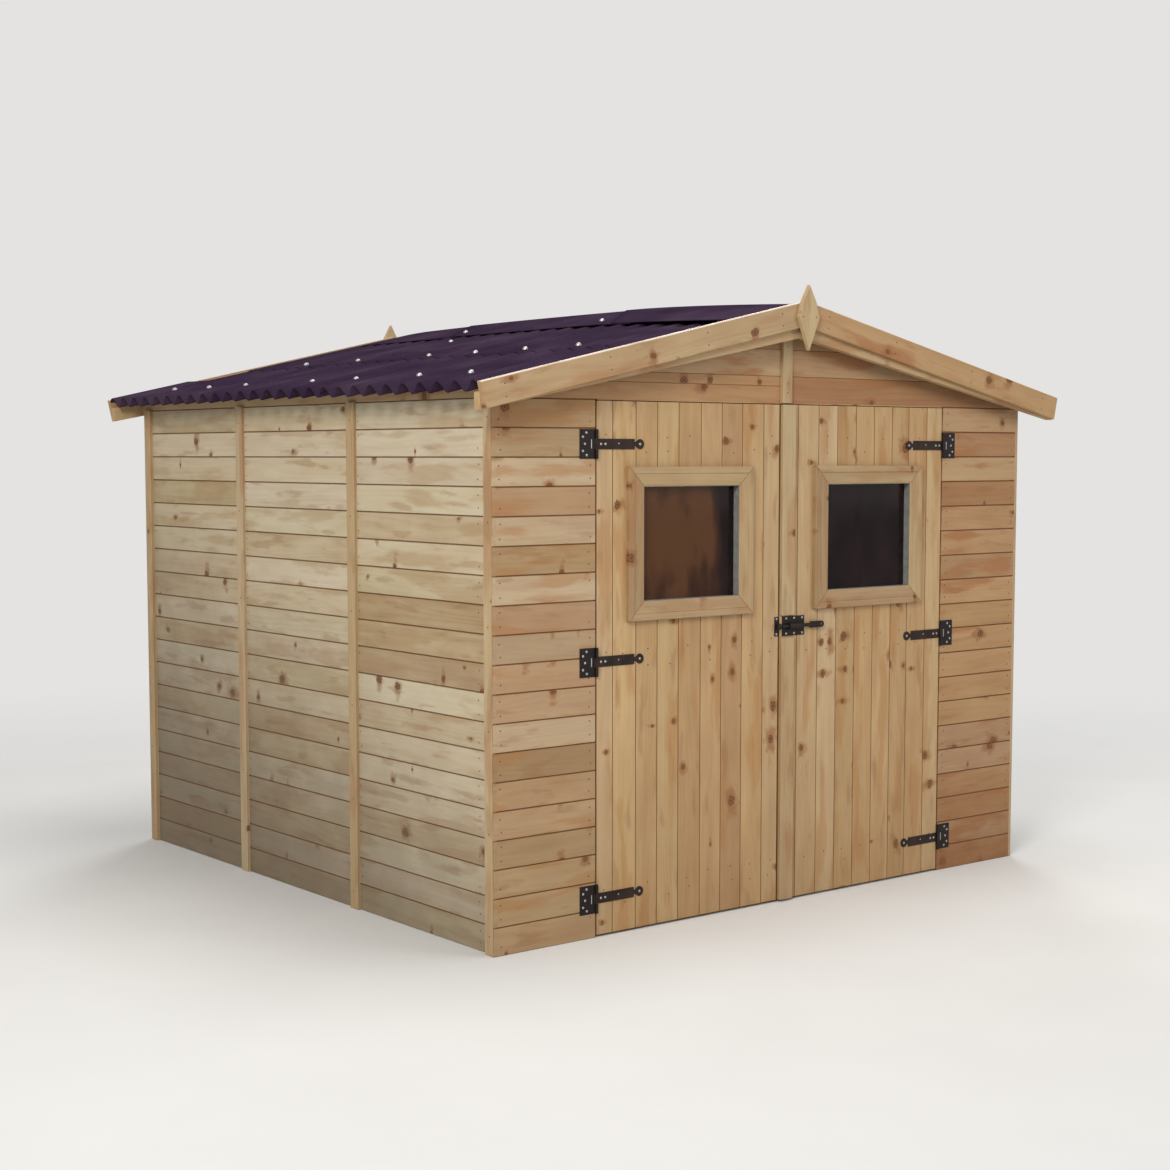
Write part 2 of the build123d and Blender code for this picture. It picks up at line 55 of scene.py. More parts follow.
# %% Colour and node helpers
def linear(code, alpha=1.0):
    """sRGB hex to linear: c/12.92 in the darks, ((c + 0.055)/1.055)^2.4 above."""
    parts = [int(code[i : i + 2], 16) / 255 for i in (1, 3, 5)]
    return tuple(c / 12.92 if c <= 0.04045 else ((c + 0.055) / 1.055) ** 2.4 for c in parts) + (alpha,)


def plug(node, inputs):
    """Fill a node's sockets: an output of another node is wired, any other value is set."""
    for place, value in inputs.items():
        if isinstance(value, bpy.types.NodeSocket):
            node.id_data.links.new(value, node.inputs[place])
        else:
            node.inputs[place].default_value = value


def add(tree, kind, *inputs, out=0, **settings):
    """Add one node; kind may carry its operation after a space. Settings are the node's
    properties. Inputs fill its sockets in order, or by name if they come as one dict.
    Gives back the output out, or the whole node if out is None."""
    kind, _, operation = kind.partition(" ")
    node = tree.nodes.new("ShaderNode" + kind)
    if operation:
        node.operation = operation
    for key, value in settings.items():
        setattr(node, key, value)
    plug(node, inputs[0] if inputs and isinstance(inputs[0], dict) else dict(enumerate(inputs)))
    return node if out is None else node.outputs[out]


def set_ramp(ramp, stops):
    """Give a colour ramp its (place, hex) stops, and hand back its colour."""
    elements = ramp.color_ramp.elements
    while len(elements) < len(stops):
        elements.new(0.5)
    for element, (place, code) in zip(elements, stops):
        element.position = place
        element.color = linear(code)
    return ramp.outputs[0]


def adder(tree):
    """The add function, bound to one tree."""
    return lambda kind, *inputs, **settings: add(tree, kind, *inputs, **settings)


def new_material(name):
    """An empty node material, the function that adds nodes to it, and its Principled shader,
    wired to the output."""
    material = bpy.data.materials.new(name)
    material.use_nodes = True
    material.node_tree.nodes.clear()
    put = adder(material.node_tree)
    shader = put("BsdfPrincipled", out=None)
    put("OutputMaterial", shader.outputs["BSDF"], out=None)
    return material, put, shader


# settings of a Map Range node that eases in and out between its two ends
soft = {"interpolation_type": "SMOOTHSTEP"}
print("mid grey as light", round(linear("#808080")[0], 3))

# %% [markdown]
# ## Spruce and pine
# The cladding is planed spruce, pressure-treated and left bare, so it shows what wood
# shows: every board has its own tone, soft bands of early and late wood a few millimetres
# apart, fibres much finer than that, reddish heartwood patches, and knots that the bands
# flow around. It could be one noise stretched along the wall, but then the figure would
# run through the joints. Instead each board carries its own coordinate, `grain`, in
# metres along and across that board with a random start, its own `tone`, and a third
# attribute which is 1 in the joints and on the eased edges: it paints them brown, partly
# the dirt that rain leaves there and partly painted shade of the recess. The few timbers
# that keep the frame's meshes read Object coordinates with the same recipe.


# %% Noise along the grain
def noise(put, vector, factors, detail):
    """A noise with so many features to a metre along, across and into the board."""
    drawn_out = put("VectorMath MULTIPLY", vector, factors)
    return put("TexNoise", {"Vector": drawn_out, "Scale": 1.0, "Detail": detail}, out="Fac")


ring_gap = 11 * MM
print("growth rings about", round(ring_gap / MM), "mm apart")

# %% [markdown]
# ## Knots
# A knot is a branch that the saw has cut through: dark pith, brown eye, darker rim, and a
# stain in the wood round it. A painted picture would repeat its knots. Here a Voronoi
# pattern lays cells over the board with one candidate in each, and only a share of the
# cells keep theirs, so that no two boards match.


# %% Knots
knot_cell, smallest_knot, knot_growth = 110 * MM, 3.4 * MM, 10 * MM


def knots(put, grain, share):
    """Masks of each knot's rim, eye, pith, halo and bent grain, and the way from its middle.
    A mask is a soft step of the distance in knot radii; it fades out before the cell's edge."""
    plane = put("VectorMath MULTIPLY", grain, (1 / knot_cell, 1 / knot_cell, 0))
    layout = {"Vector": plane, "Scale": 1.0, "Randomness": 0.85}
    spots = put("TexVoronoi", layout, voronoi_dimensions="2D", out=None).outputs
    fence = put("TexVoronoi", layout, voronoi_dimensions="2D", feature="DISTANCE_TO_EDGE", out="Distance")
    lots = put("SeparateColor", spots["Color"], out=None).outputs
    luck = put("MapRange", lots[0], 1 - share, 1.0)
    kept = put("Math GREATER_THAN", luck, 0.001)
    radius = put("Math MULTIPLY_ADD", put("Math POWER", luck, 1.3), knot_growth, smallest_knot)
    middle = put("VectorMath MULTIPLY", spots["Position"], (knot_cell, knot_cell, 0))
    aside = put("VectorMath SUBTRACT", put("VectorMath MULTIPLY", grain, (1, 1, 0)), middle)

    def reach(stretch, factors, detail, raggedness, least):
        """Distance from the knot in knot radii, in a stretched frame and with a ragged edge."""
        oval = put("VectorMath LENGTH", put("VectorMath MULTIPLY", aside, stretch), out="Value")
        ragged = put("Math MULTIPLY_ADD", noise(put, grain, factors, detail), raggedness, least)
        return put("Math MULTIPLY", put("Math DIVIDE", oval, radius), ragged)

    near = reach((0.8, 1, 0), (90, 90, 90), 2.0, 1.1, 0.45)
    # the stain runs along the board from some knots and straight across it from others
    aspect = put("Math MULTIPLY_ADD", lots[1], 1.3, 0.3)
    stretch = put("CombineXYZ", aspect, put("Math MULTIPLY_ADD", aspect, -0.5, 1.25))
    wide = reach(stretch, (34, 46, 34), 3.0, 2.2, -0.1)
    inner, outer = (
        put("Math MULTIPLY", kept, put("MapRange", fence, 0.0, full, **soft)) for full in (0.06, 0.22)
    )
    rim, eye, pith, halo, bend = (
        put("Math MULTIPLY", inside, put("MapRange", distance, start, end, **soft))
        for inside, distance, start, end in (
            (inner, near, 1.25, 0.95), (inner, near, 0.85, 0.6), (inner, near, 0.42, 0.2),
            (outer, wide, 3.0, 0.9), (outer, near, 4.5, 0.6),
        )
    )
    return rim, eye, pith, halo, bend, aside


widest_knot = smallest_knot + knot_growth
print("knots", round(2 * smallest_knot / MM), "to", round(2 * widest_knot / MM), "mm across")

# %% [markdown]
# ## The timber finish
# Over the knots come growth rings, fibres and soft bands, each a noise drawn out along
# the grain. They only shift a place on one ramp from sapwood to dark board, which keeps
# every hue a wood hue. Heartwood, streaks, knots, splashed rain with painted shade low
# down, and dirt with painted shade in the joints are then laid over it one by one, as
# stains are.


# %% Timber material
def timber(
    name, stops, along="board", knot_share=0.2, red=0.4, splash_and_shade=0.0, rough=0.62,
    lean_share=0.22, spread=0.75, heart="#9A673F", splash_and_shade_hue="#5F5040",
):
    """Bare softwood. along is 'board' for pieces that carry grain, or the grain's axis, x or y.
    stops: colour from sapwood to dark board. red: strength of heartwood. splash_and_shade:
    rain splash and painted shade low down and towards the back, of the hue
    splash_and_shade_hue. lean_share: how far boards lean to other hues. spread: how far
    their tones differ. heart: the hue of heartwood and of the stain round knots."""
    material, put, shader = new_material(name)
    spot = put("TexCoord", out="Object")
    x, y, z = put("SeparateXYZ", spot, out=None).outputs
    if along == "board":
        grain = put("Attribute", attribute_name="grain", out="Vector")
        tone, dirt_and_shade = (put("Attribute", attribute_name=kind, out="Fac") for kind in ("tone", "dirt_and_shade"))
    else:
        grain = put("CombineXYZ", *((x, y, z) if along == "x" else (y, x, z)))
        tone, dirt_and_shade = put("Value"), None
        tone.default_value = 0.3
    rim, eye, pith, halo, bend, aside = knots(put, grain, knot_share)

    # growth rings: level lines of a slow noise drawn out along the board, which close into
    # long loops as they do in a flat-sawn board, and bend round each knot
    push = put("VectorMath MULTIPLY", put("VectorMath SCALE", {0: aside, "Scale": bend}), (0.2, 0.8, 0))
    flow = put("VectorMath SUBTRACT", grain, push)
    hill = noise(put, flow, (0.9, 8.0, 8.0), 1.0)
    straight = put("Math MULTIPLY", put("SeparateXYZ", flow, out=1), 0.45 * 2 * pi / ring_gap)
    phase = put("Math MULTIPLY_ADD", hill, 0.9 * 2 * pi / ring_gap / 8.0, straight)
    rings = put("MapRange", put("Math SINE", phase), -0.3, 1.0, **soft)

    # soft marks drawn out along the board, and the board's own tone
    fibre = noise(put, flow, (7, 190, 190), 3.0)
    band, cloud = noise(put, flow, (1.4, 24, 24), 2.0), noise(put, flow, (6, 17, 17), 3.0)
    mixed = put("Math MULTIPLY_ADD", rings, 0.06, -0.50)
    for mark, weight in ((fibre, 0.14), (band, 0.42), (cloud, 0.40)):
        mixed = put("Math MULTIPLY_ADD", mark, weight, mixed)
    own = put("Math MULTIPLY_ADD", tone, spread, 0.28 * (0.95 - spread))
    colour = set_ramp(put("ValToRGB", put("Math ADD", mixed, own), out=None), stops)

    # then one stain over another; each board leans to cream, olive, tan or rose
    dice = put("TexWhiteNoise", {"W": tone}, noise_dimensions="1D", out="Value")
    hues = [(0.0, "#C4B9A6"), (0.35, "#A8966F"), (0.65, "#AE8A66"), (1.0, "#9A7464")]
    lean = set_ramp(put("ValToRGB", dice, out=None), hues)
    heartwood = put("MapRange", noise(put, flow, (2.4, 12, 12), 4.0), 0.53, 0.63, **soft)
    streaks = put("MapRange", noise(put, flow, (5, 24, 24), 4.5), 0.58, 0.68, **soft)
    stains = [
        (1.0, lean_share, lean), (heartwood, red, heart), (streaks, 0.34, "#87603C"),
        (halo, 0.5, heart), (halo, 0.45, "#7E5132"), (rim, 0.80, "#543118"),
        (eye, 0.65, "#8A5B32"), (pith, 0.75, "#2B1A12"),
    ]
    if splash_and_shade:
        # rain splash with painted shade: strongest at the ground and gone about a metre up,
        # and reaching higher at the back, where the shade is painted in
        drops = put("TexNoise", {"Vector": spot, "Scale": 7.0, "Detail": 4.0}, out="Fac")
        level = put("Math MULTIPLY_ADD", drops, 0.45, put("Math MULTIPLY_ADD", y, -0.34, z))
        # painted shade and splash: darker low down, and higher up towards the back
        stains.append((put("MapRange", level, 1.5, 0.1, **soft), splash_and_shade, splash_and_shade_hue))
    # brown in the joints and on the eased edges: dirt, and painted shade of the recess
    if dirt_and_shade:
        stains.append((dirt_and_shade, 0.85, "#744B28"))
    for mask, strength, hue in stains:
        hue = linear(hue) if isinstance(hue, str) else hue
        share = put("Math MULTIPLY", mask, strength)
        colour = put("Mix", {0: share, 6: colour, 7: hue}, data_type="RGBA", out=2)

    relief = put("Math MULTIPLY_ADD", rim, -0.8, put("Math MULTIPLY_ADD", rings, 0.4, fibre))
    plug(shader, {
        "Base Color": colour,
        "Roughness": put("Math MULTIPLY_ADD", fibre, 0.16, rough - 0.08),
        "Normal": put("Bump", {"Strength": 0.45, "Distance": 0.5 * MM, "Height": relief}),
        "Specular IOR Level": 0.3,
    })
    return material


# %% [markdown]
# ## The lots of timber
# A shed comes from several lots of wood: side cladding gone a little silver, a browner
# front, heartwood on the right of the front and in its gable, picked planks for the doors,
# planed trim and sawn framing. One finish with switches could serve them all, but one for
# each lot keeps its colours in sight, and only what sets it apart is written down.

# %% Timber finishes
side_spruce = timber(
    "pressure_treated_spruce_side",
    [(0.0, "#CAC1A9"), (0.3, "#BBAE90"), (0.55, "#A99775"), (0.8, "#957C5A"), (1.0, "#7C5E42")],
    knot_share=0.17, red=0.42, splash_and_shade=0.78, rough=0.7, lean_share=0.25, heart="#9C7C55",
)
front_spruce = timber(
    "pressure_treated_spruce_front",
    [(0.0, "#B49973"), (0.3, "#A3845F"), (0.55, "#92714D"), (0.8, "#825A3C"), (1.0, "#69452D")],
    red=0.45, splash_and_shade=0.28, lean_share=0.32, spread=0.7, heart="#9F6A35",
)
heart_spruce = timber(
    "pressure_treated_spruce_heartwood",
    [(0.0, "#B08D65"), (0.3, "#A1794F"), (0.55, "#91663E"), (0.8, "#805232"), (1.0, "#693F27")],
    red=0.75, splash_and_shade=0.95, spread=0.6, splash_and_shade_hue="#7C4E2B",
)
door_spruce = timber(
    "pressure_treated_spruce_door",
    [(0.0, "#C2A678"), (0.3, "#B08F64"), (0.55, "#9D7B52"), (0.8, "#8B6541"), (1.0, "#754F33")],
    red=0.42, splash_and_shade=0.42, spread=0.5, heart="#A06B36", splash_and_shade_hue="#82603A",
)
trim_spruce = timber(
    "planed_spruce_trim",
    [(0.0, "#BBA883"), (0.35, "#A98F69"), (0.7, "#907150"), (1.0, "#75563B")],
    knot_share=0.16, splash_and_shade=0.15, lean_share=0.15,
)
sawn = {
    axis: timber(
        f"sawn_spruce_batten_{axis}",
        [(0.0, "#B99B70"), (0.4, "#AB8A5E"), (0.75, "#99734B"), (1.0, "#80593A")],
        along=axis, rough=0.75,
    )
    for axis in "xy"
}
batten_spruce = timber(
    "sawn_spruce_framing", [(0.0, "#C0A47A"), (0.4, "#AE8E63"), (0.75, "#99744C"), (1.0, "#80593A")],
    knot_share=0.25, rough=0.78,
)
# painted highlight: the top edges of the bargeboards on the left, made pale for the light from above
painted_highlight_spruce = timber(
    "painted_highlight_spruce_edge", [(0.0, "#D6C6BA"), (0.5, "#CBB8A8"), (1.0, "#B5A08A")],
    knot_share=0.1, red=0.1, lean_share=0.05,
)
print("timber finishes", 7 + len(sawn))

# %% [markdown]
# ## A bar of wood
# Almost everything here is a cross-section carried along a straight run: boards, strips,
# mitred frames. A bar could be a cube with a Bevel modifier, but then its grain would
# have to be guessed afterwards. Here the surface is worked out as a grid, one column for
# each corner of the section and one row for each end, so that every point knows how far
# along, across and deep it is in its own board. A saw cut that isn't square only makes
# the distance along depend on the distance across.


# %% Bars and their sections
def board_tone():
    """How dark a board is: most are pale, and a few come out of the saw much darker."""
    return rng.beta(1.15, 2.7)


def loop_quads(count, loops):
    """Quads over a stack of loops: corner j, the next corner k, and those two one loop on."""
    j = np.arange(count)
    k = (j + 1) % count
    start = (np.arange(loops - 1) * count)[:, None]
    corners = [j + start, k + start, k + start + count, j + start + count]
    return np.stack(corners, axis=-1).reshape(-1, 4)


def capped(count, loops):
    """Those quads, and both ends closed by the section itself."""
    j = np.arange(count)
    return loop_quads(count, loops).tolist() + [j[::-1].tolist(), (j + (loops - 1) * count).tolist()]


def bar(origin, run, across, out, length, section, slant=(0.0, 0.0), grain=None, tone=None, dirt_and_shade=1.0):
    """Point (i, j) = origin + u*run + v*across + w*out, with (v, w) the j-th section corner
    and u = slant0*v at the near end, length + slant1*v at the far end. Corners just below
    the face, the eased edges and rebates, take the dirt and the painted shade of the joints."""
    v, w = np.asarray(section, float).T
    u = np.stack([slant[0] * v, length + slant[1] * v])
    axes = np.array([run, across, out], float)
    place = np.stack(np.broadcast_arrays(u, v, w), axis=-1)
    points = np.asarray(origin, float) + place @ axes
    faces = capped(len(v), 2)
    if np.linalg.det(axes) < 0:
        faces = [face[::-1] for face in faces]
    start = rng.uniform(0, 40, 3) if grain is None else grain
    shade = np.full(2 * len(v), board_tone() if tone is None else tone)
    # 1 at the eased edges and rebates, which take dirt and painted shade
    dirt_and_shade_mask = np.tile(dirt_and_shade * ((w > 0) & (w < w.max() - 0.5 * MM)), 2)
    return points.reshape(-1, 3), faces, (place + start).reshape(-1, 3), shade, dirt_and_shade_mask


def plank(width, thick, near=1.2 * MM, far=1.2 * MM):
    """Section of a planed board: a rectangle, its two outer corners cut off by near and far."""
    outer = [(width, thick - far), (width - far, thick)] if far else [(width, thick)]
    inner = [(near, thick), (0, thick - near)] if near else [(0, thick)]
    return [(0, 0), (width, 0)] + outer + inner


joint_gap = 2.4 * MM


def weatherboard(width, thick, round_off=2.0 * MM, step=4 * MM):
    """Section of a rebated wall board: it stops a gap short of its full width, and a thinner
    tongue goes on underneath, so that the joint is a shadow line and not a hole."""
    face = width - joint_gap
    return [
        (0, 0), (width, 0), (width, thick - step), (face, thick - step),
        (face, thick - round_off), (face - round_off, thick), (round_off, thick), (0, thick - round_off),
    ]


print("a bar has", len(capped(len(weatherboard(90 * MM, 16 * MM)), 2)), "faces if it is a wall board")

# %% [markdown]
# ## From parts to one piece
# The boards of a wall are one piece to its owner, so they become one mesh. Blender's Join
# would do that as well, but stacking the arrays is quicker and keeps each point's grain,
# tone, and mask of dirt and painted shade. The piece rides a body and may stand for plain nodes.


# %% Join parts into a piece
def join(name, parts, material, body, stands_for=(), smooth=False):
    """One mesh object from many parts: stacks their points and shifts each part's face numbers."""
    starts = np.cumsum([0] + [len(part[0]) for part in parts])
    faces = [[i + start for i in face] for part, start in zip(parts, starts) for face in part[1]]
    mesh = bpy.data.meshes.new(name)
    mesh.from_pydata(np.concatenate([part[0] for part in parts]), [], faces)
    if len(parts[0]) > 2:
        for column, label in enumerate(("grain", "tone", "dirt_and_shade"), start=2):
            kind, field = ("FLOAT_VECTOR", "vector") if label == "grain" else ("FLOAT", "value")
            values = np.concatenate([part[column] for part in parts]).astype(float)
            mesh.attributes.new(label, kind, "POINT").data.foreach_set(field, values.ravel())
    mesh.polygons.foreach_set("use_smooth", np.full(len(mesh.polygons), smooth))
    mesh.materials.append(material)
    mesh.update()
    piece = bpy.data.objects.new(name, mesh)
    bpy.context.scene.collection.objects.link(piece)
    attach(piece, body)
    if stands_for:
        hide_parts(*stands_for)
    print(name, len(parts), "parts", len(mesh.polygons), "faces")
    return piece


# %% [markdown]
# ## Where the frame's timbers are
# The boards go where the plain slabs are, so their places are measured and not typed in.
# A node can hold many solids; the triangles of one solid share corners, which tells them
# apart without cutting the mesh up.


# %% Boxes of the solids
def solids(node):
    """Boxes (low, high) of a node's separate solids: corner points that share a triangle
    take the lower of their labels until nothing changes, and each label is one solid."""
    mesh = nodes[node].data
    corners = np.empty(len(mesh.vertices) * 3)
    mesh.vertices.foreach_get("co", corners)
    places, same = np.unique(np.round(corners.reshape(-1, 3), 6), axis=0, return_inverse=True)
    mesh.calc_loop_triangles()
    triangles = np.empty(len(mesh.loop_triangles) * 3, int)
    mesh.loop_triangles.foreach_get("vertices", triangles)
    triangles = same.ravel()[triangles].reshape(-1, 3)
    label = np.arange(len(places))
    settled = False
    while not settled:
        lower = label.copy()
        for column in range(3):
            np.minimum.at(lower, triangles[:, column], label[triangles].min(axis=1))
        settled = bool((lower == label).all())
        label = lower
    return [(places[label == one].min(axis=0), places[label == one].max(axis=0)) for one in np.unique(label)]


X, Y, Z = np.eye(3)
both_sides = (("left", -1.0), ("right", 1.0))
both_faces = (("front", -1), ("back", 1))
front_face, back_face, side_face = -1180 * MM, 1180 * MM, 1206 * MM
board_cover = 90 * MM
pitch = radians(12.6)
ridge_height = 2015.6 * MM
print("left wall panels", [np.round(high - low, 3).tolist() for low, high in solids("left_wall_panels")])

# %% [markdown]
# ## Wall boards
# Each wall is a set of panels, and each panel is nineteen boards nailed across its posts.
# One slab with painted lines would do from afar, but the light catches every board edge,
# and no two boards weigh the same to the eye, so each board is laid on its own with its
# own tone. The boards overlap like this: a tongue runs under the next one, and the
# joint shows as a thin shadow. In the gables the saw follows the roof slope.


# %% Lay the walls
corner_lip = 4 * MM


def wall(node, run, out, lap=0.0):
    """Boards of one cover width from the bottom of each of the node's slabs to its top.
    lap: how far a thin outer lip of each board runs on over the corner strip."""
    lip = plank(board_cover - joint_gap, corner_lip, 2.2 * MM, 2.2 * MM)
    parts = []
    for low, high in solids(node):
        corner = np.where(run + out < 0, high, low)
        length, thick = abs((high - low) @ run), abs((high - low) @ out)
        for row in range(round((high[2] - low[2]) / board_cover)):
            spot, shade = rng.uniform(0, 40, 3), board_tone()
            origin, board = corner + Z * row * board_cover, weatherboard(board_cover, thick)
            parts.append(bar(origin, run, Z, out, length, board, grain=spot, tone=shade))
            if lap:
                start, shift = origin - run * lap + out * (thick - corner_lip), spot - (lap, 0, 0)
                parts.append(bar(start, run, Z, out, lap, lip, grain=shift, tone=shade))
    return parts


strip_low, strip_high = solids("left_cover_strips")[0]
for name, node, run, out, finish in (
    ("left_wall_boards", "left_wall_panels", Y, -X, side_spruce),
    ("right_wall_boards", "right_wall_panels", Y, X, side_spruce),
    ("back_wall_boards", "back_wall_panels", X, Y, side_spruce),
    ("front_boards_left", "front_wall_left", X, -Y, front_spruce),
    ("front_boards_right", "front_wall_right", X, -Y, heart_spruce),
):
    lap = strip_high[0] - strip_low[0] if node == "front_wall_left" else 0.0
    join(name, wall(node, run, out, lap), finish, "shed", [node])


def gable(node, out, extra=()):
    """Boards from the middle line outwards, each cut at the roof slope: the cut moves in by
    1/tan(pitch) for each unit of height. The lowest board is wider than the wall, so its
    toe is a separate bar with a plumb end and the same grain. extra: heights of more joints
    on the left."""
    eased, slope_run = 1.6 * MM, 1 / tan(pitch)
    parts = []
    for (low, high), more in zip(solids(node), (extra, ())):
        side = -1.0 if low[0] < 0 else 1.0
        inner, reach = sorted((abs(low[0]), abs(high[0])))
        thick, y = high[1] - low[1], high[1] if out[1] < 0 else low[1]
        top_edge, toe = high[2] - 3 * MM, high[2] - (reach - inner) * tan(pitch)
        levels = np.sort(np.append(np.arange(low[2], top_edge, board_cover), more))
        for level, top in zip(levels, np.append(levels[1:], top_edge)):
            spot, shade = rng.uniform(0, 40, 3), board_tone()
            # painted shade: the right half is darker and warmer, for the shade under its bargeboard
            shade = 0.3 + 0.6 * shade if side > 0 else 0.6 * shade
            cuts = [level, toe, top] if level < toe < top else [level, top]
            for foot, head in zip(cuts, cuts[1:]):
                ends = [eased if at_edge else 0 for at_edge in (foot == level, head == top)]
                length, slant = (high[2] - foot) * slope_run, (0, -slope_run)
                if head <= toe:
                    length, slant = reach - inner, (0, 0)
                section, grain = plank(head - foot, thick, *ends), spot + (0, foot - level, 0)
                start = (side * inner, y, foot)
                parts.append(bar(start, X * side, Z, out, length, section, slant, grain=grain, tone=shade))
    return parts


front_boards = gable("front_gable", -Y, (1767 * MM,))
# the lowest board hangs a little over the doorway, and hides most of the doors' gap
lip_start, lip_section = (-815 * MM, -1172 * MM, 1707.4 * MM), plank(4 * MM, 8 * MM, 1 * MM, 0)
front_boards.append(bar(lip_start, X, Z, -Y, 1605 * MM, lip_section, tone=0.3, dirt_and_shade=0))
join("front_gable_boards", front_boards, heart_spruce, "shed", ["front_gable"])
join("back_gable_boards", gable("back_gable", Y), side_spruce, "shed", ["back_gable"])

# %% [markdown]
# ## Door planks
# A leaf is a row of upright planks, and the window is sawn out of them. A plank beside
# the opening keeps its full length next to the hole, and is short above and below it. It
# could be cut with a Boolean, but then the grain coordinates would be lost, so such a
# plank is laid as up to three bars that share one grain and have no rounded edge where
# they meet.


# %% Hang the planks
def leaf(node, pane, joints, tones):
    """Upright planks between the joints, left out where the pane's opening is."""
    (low, high), = solids(node)
    (hole_low, hole_high), = solids(pane)
    edges = np.array([low[0], *joints, high[0]])
    gap, eased, thick = 0.8 * MM, 1.4 * MM, high[1] - low[1]
    whole, sawn_out = [(low[2], high[2])], [(low[2], hole_low[2]), (hole_high[2], high[2])]
    parts = []
    for left, right, shade in zip(edges[:-1], edges[1:], tones):
        spot = rng.uniform(0, 40, 3)
        cuts = np.clip([left, hole_low[0], hole_high[0], right], left, right)
        for a, b, spans in zip(cuts, cuts[1:], (whole, sawn_out, whole)):
            if b - a < 0.5 * MM:
                continue
            near, a_in = (eased, a + gap) if a == left else (0, a)
            far, b_in = (eased, b - gap) if b == right else (0, b)
            section = plank(b_in - a_in, thick, near, far)
            for bottom, top in spans:
                corner, shift = (a_in, high[1], bottom), spot + (bottom, a_in - left, 0)
                parts.append(bar(corner, Z, X, -Y, top - bottom, section, grain=shift, tone=shade))
    return parts


# planks for a door are picked for an even look; one pale one has slipped in on the left
door_joints = {
    "left": np.array([-752, -656, -566, -475, -379, -287, -195, -98]) * MM,
    "right": np.array([63, 162, 254, 346, 438, 530, 616, 712]) * MM,
}
door_tones = {
    "left": (0.35, 0.0, 0.40, 0.20, 0.55, 0.22, 0.50, 0.25, 0.30),
    "right": (0.22, 0.30, 0.15, 0.45, 0.25, 0.18, 0.40, 0.28, 0.12),
}
for side, joints in door_joints.items():
    node, body = f"{side}_door_boards", f"{side}_door"
    planks = leaf(node, f"{side}_window_pane", joints, door_tones[side])
    join(f"{side}_door_planks", planks, door_spruce, body, [node])

# %% [markdown]
# ## Finishes that one noise mottles
# What comes from a factory isn't one flat colour either: zinc has dull spots, a black coat
# wears, plastic gathers dust. A noise moves the colour between a few stops and, where the
# skin is uneven, the roughness too. A second, finer noise gives grit or orange peel,
# which the light finds as small bumps.


# %% Mottled finishes
def mottled(name, stops, scale, detail, rough=(0.0, 0.5), grit=None, sockets=None):
    """Colour from stops by a noise with scale features to a metre. Roughness is
    rough[0]*noise + rough[1]. grit: scale and detail of a finer noise, its share in the
    colour, and the strength and height of its bumps. sockets: the shader's other inputs."""
    material, put, shader = new_material(name)
    spot = put("TexCoord", out="Object")
    cloud = blend = put("TexNoise", {"Vector": spot, "Scale": scale, "Detail": detail}, out="Fac")
    if grit:
        fine, fine_detail, share, strength, height = grit
        speck = put("TexNoise", {"Vector": spot, "Scale": fine, "Detail": fine_detail}, out="Fac")
        blend = put("Math MULTIPLY_ADD", speck, share, cloud)
        bump = put("Bump", {"Strength": strength, "Distance": height, "Height": speck})
        plug(shader, {"Normal": bump})
    plug(shader, {
        "Base Color": set_ramp(put("ValToRGB", blend, out=None), stops),
        "Roughness": put("Math MULTIPLY_ADD", cloud, *rough) if rough[0] else rough[1],
        **(sockets or {}),
    })
    return material


rubber_grey = mottled(
    "grey_pvc_glazing_bead", [(0.3, "#6C6D6A"), (0.7, "#82837F")], 60.0, 3.0, rough=(0.0, 0.45)
)
print("finish", rubber_grey.name)

# %% [markdown]
# ## Window frames
# The frame round a window is four moulded bars with mitred corners. It could be a curve
# with a bevel profile, but that gives no grain: so the section is carried along each side
# as a bar, and the cut at 45 degrees is a slant of one.


# %% Frame the windows
def mitred(low, high, section, y, gap=1.0 * MM, tones=(0.5, 0.4, 0.45, 0.72)):
    """Four bars round the rectangle low-high in x and z, outer edge on it, cut at 45 degrees
    a gap short of the true mitre: sill, right, head, left."""
    wide, tall = high[0] - low[0], high[2] - low[2]
    sides = [
        (low[0], low[2], X, Z, wide), (high[0], low[2], Z, -X, tall),
        (high[0], high[2], -X, -Z, wide), (low[0], high[2], -Z, X, tall),
    ]
    return [
        bar((x, y, z) + run * gap, run, across, -Y, length - 2 * gap, section, (1, -1), tone=tone, dirt_and_shade=0)
        for (x, z, run, across, length), tone in zip(sides, tones)
    ]


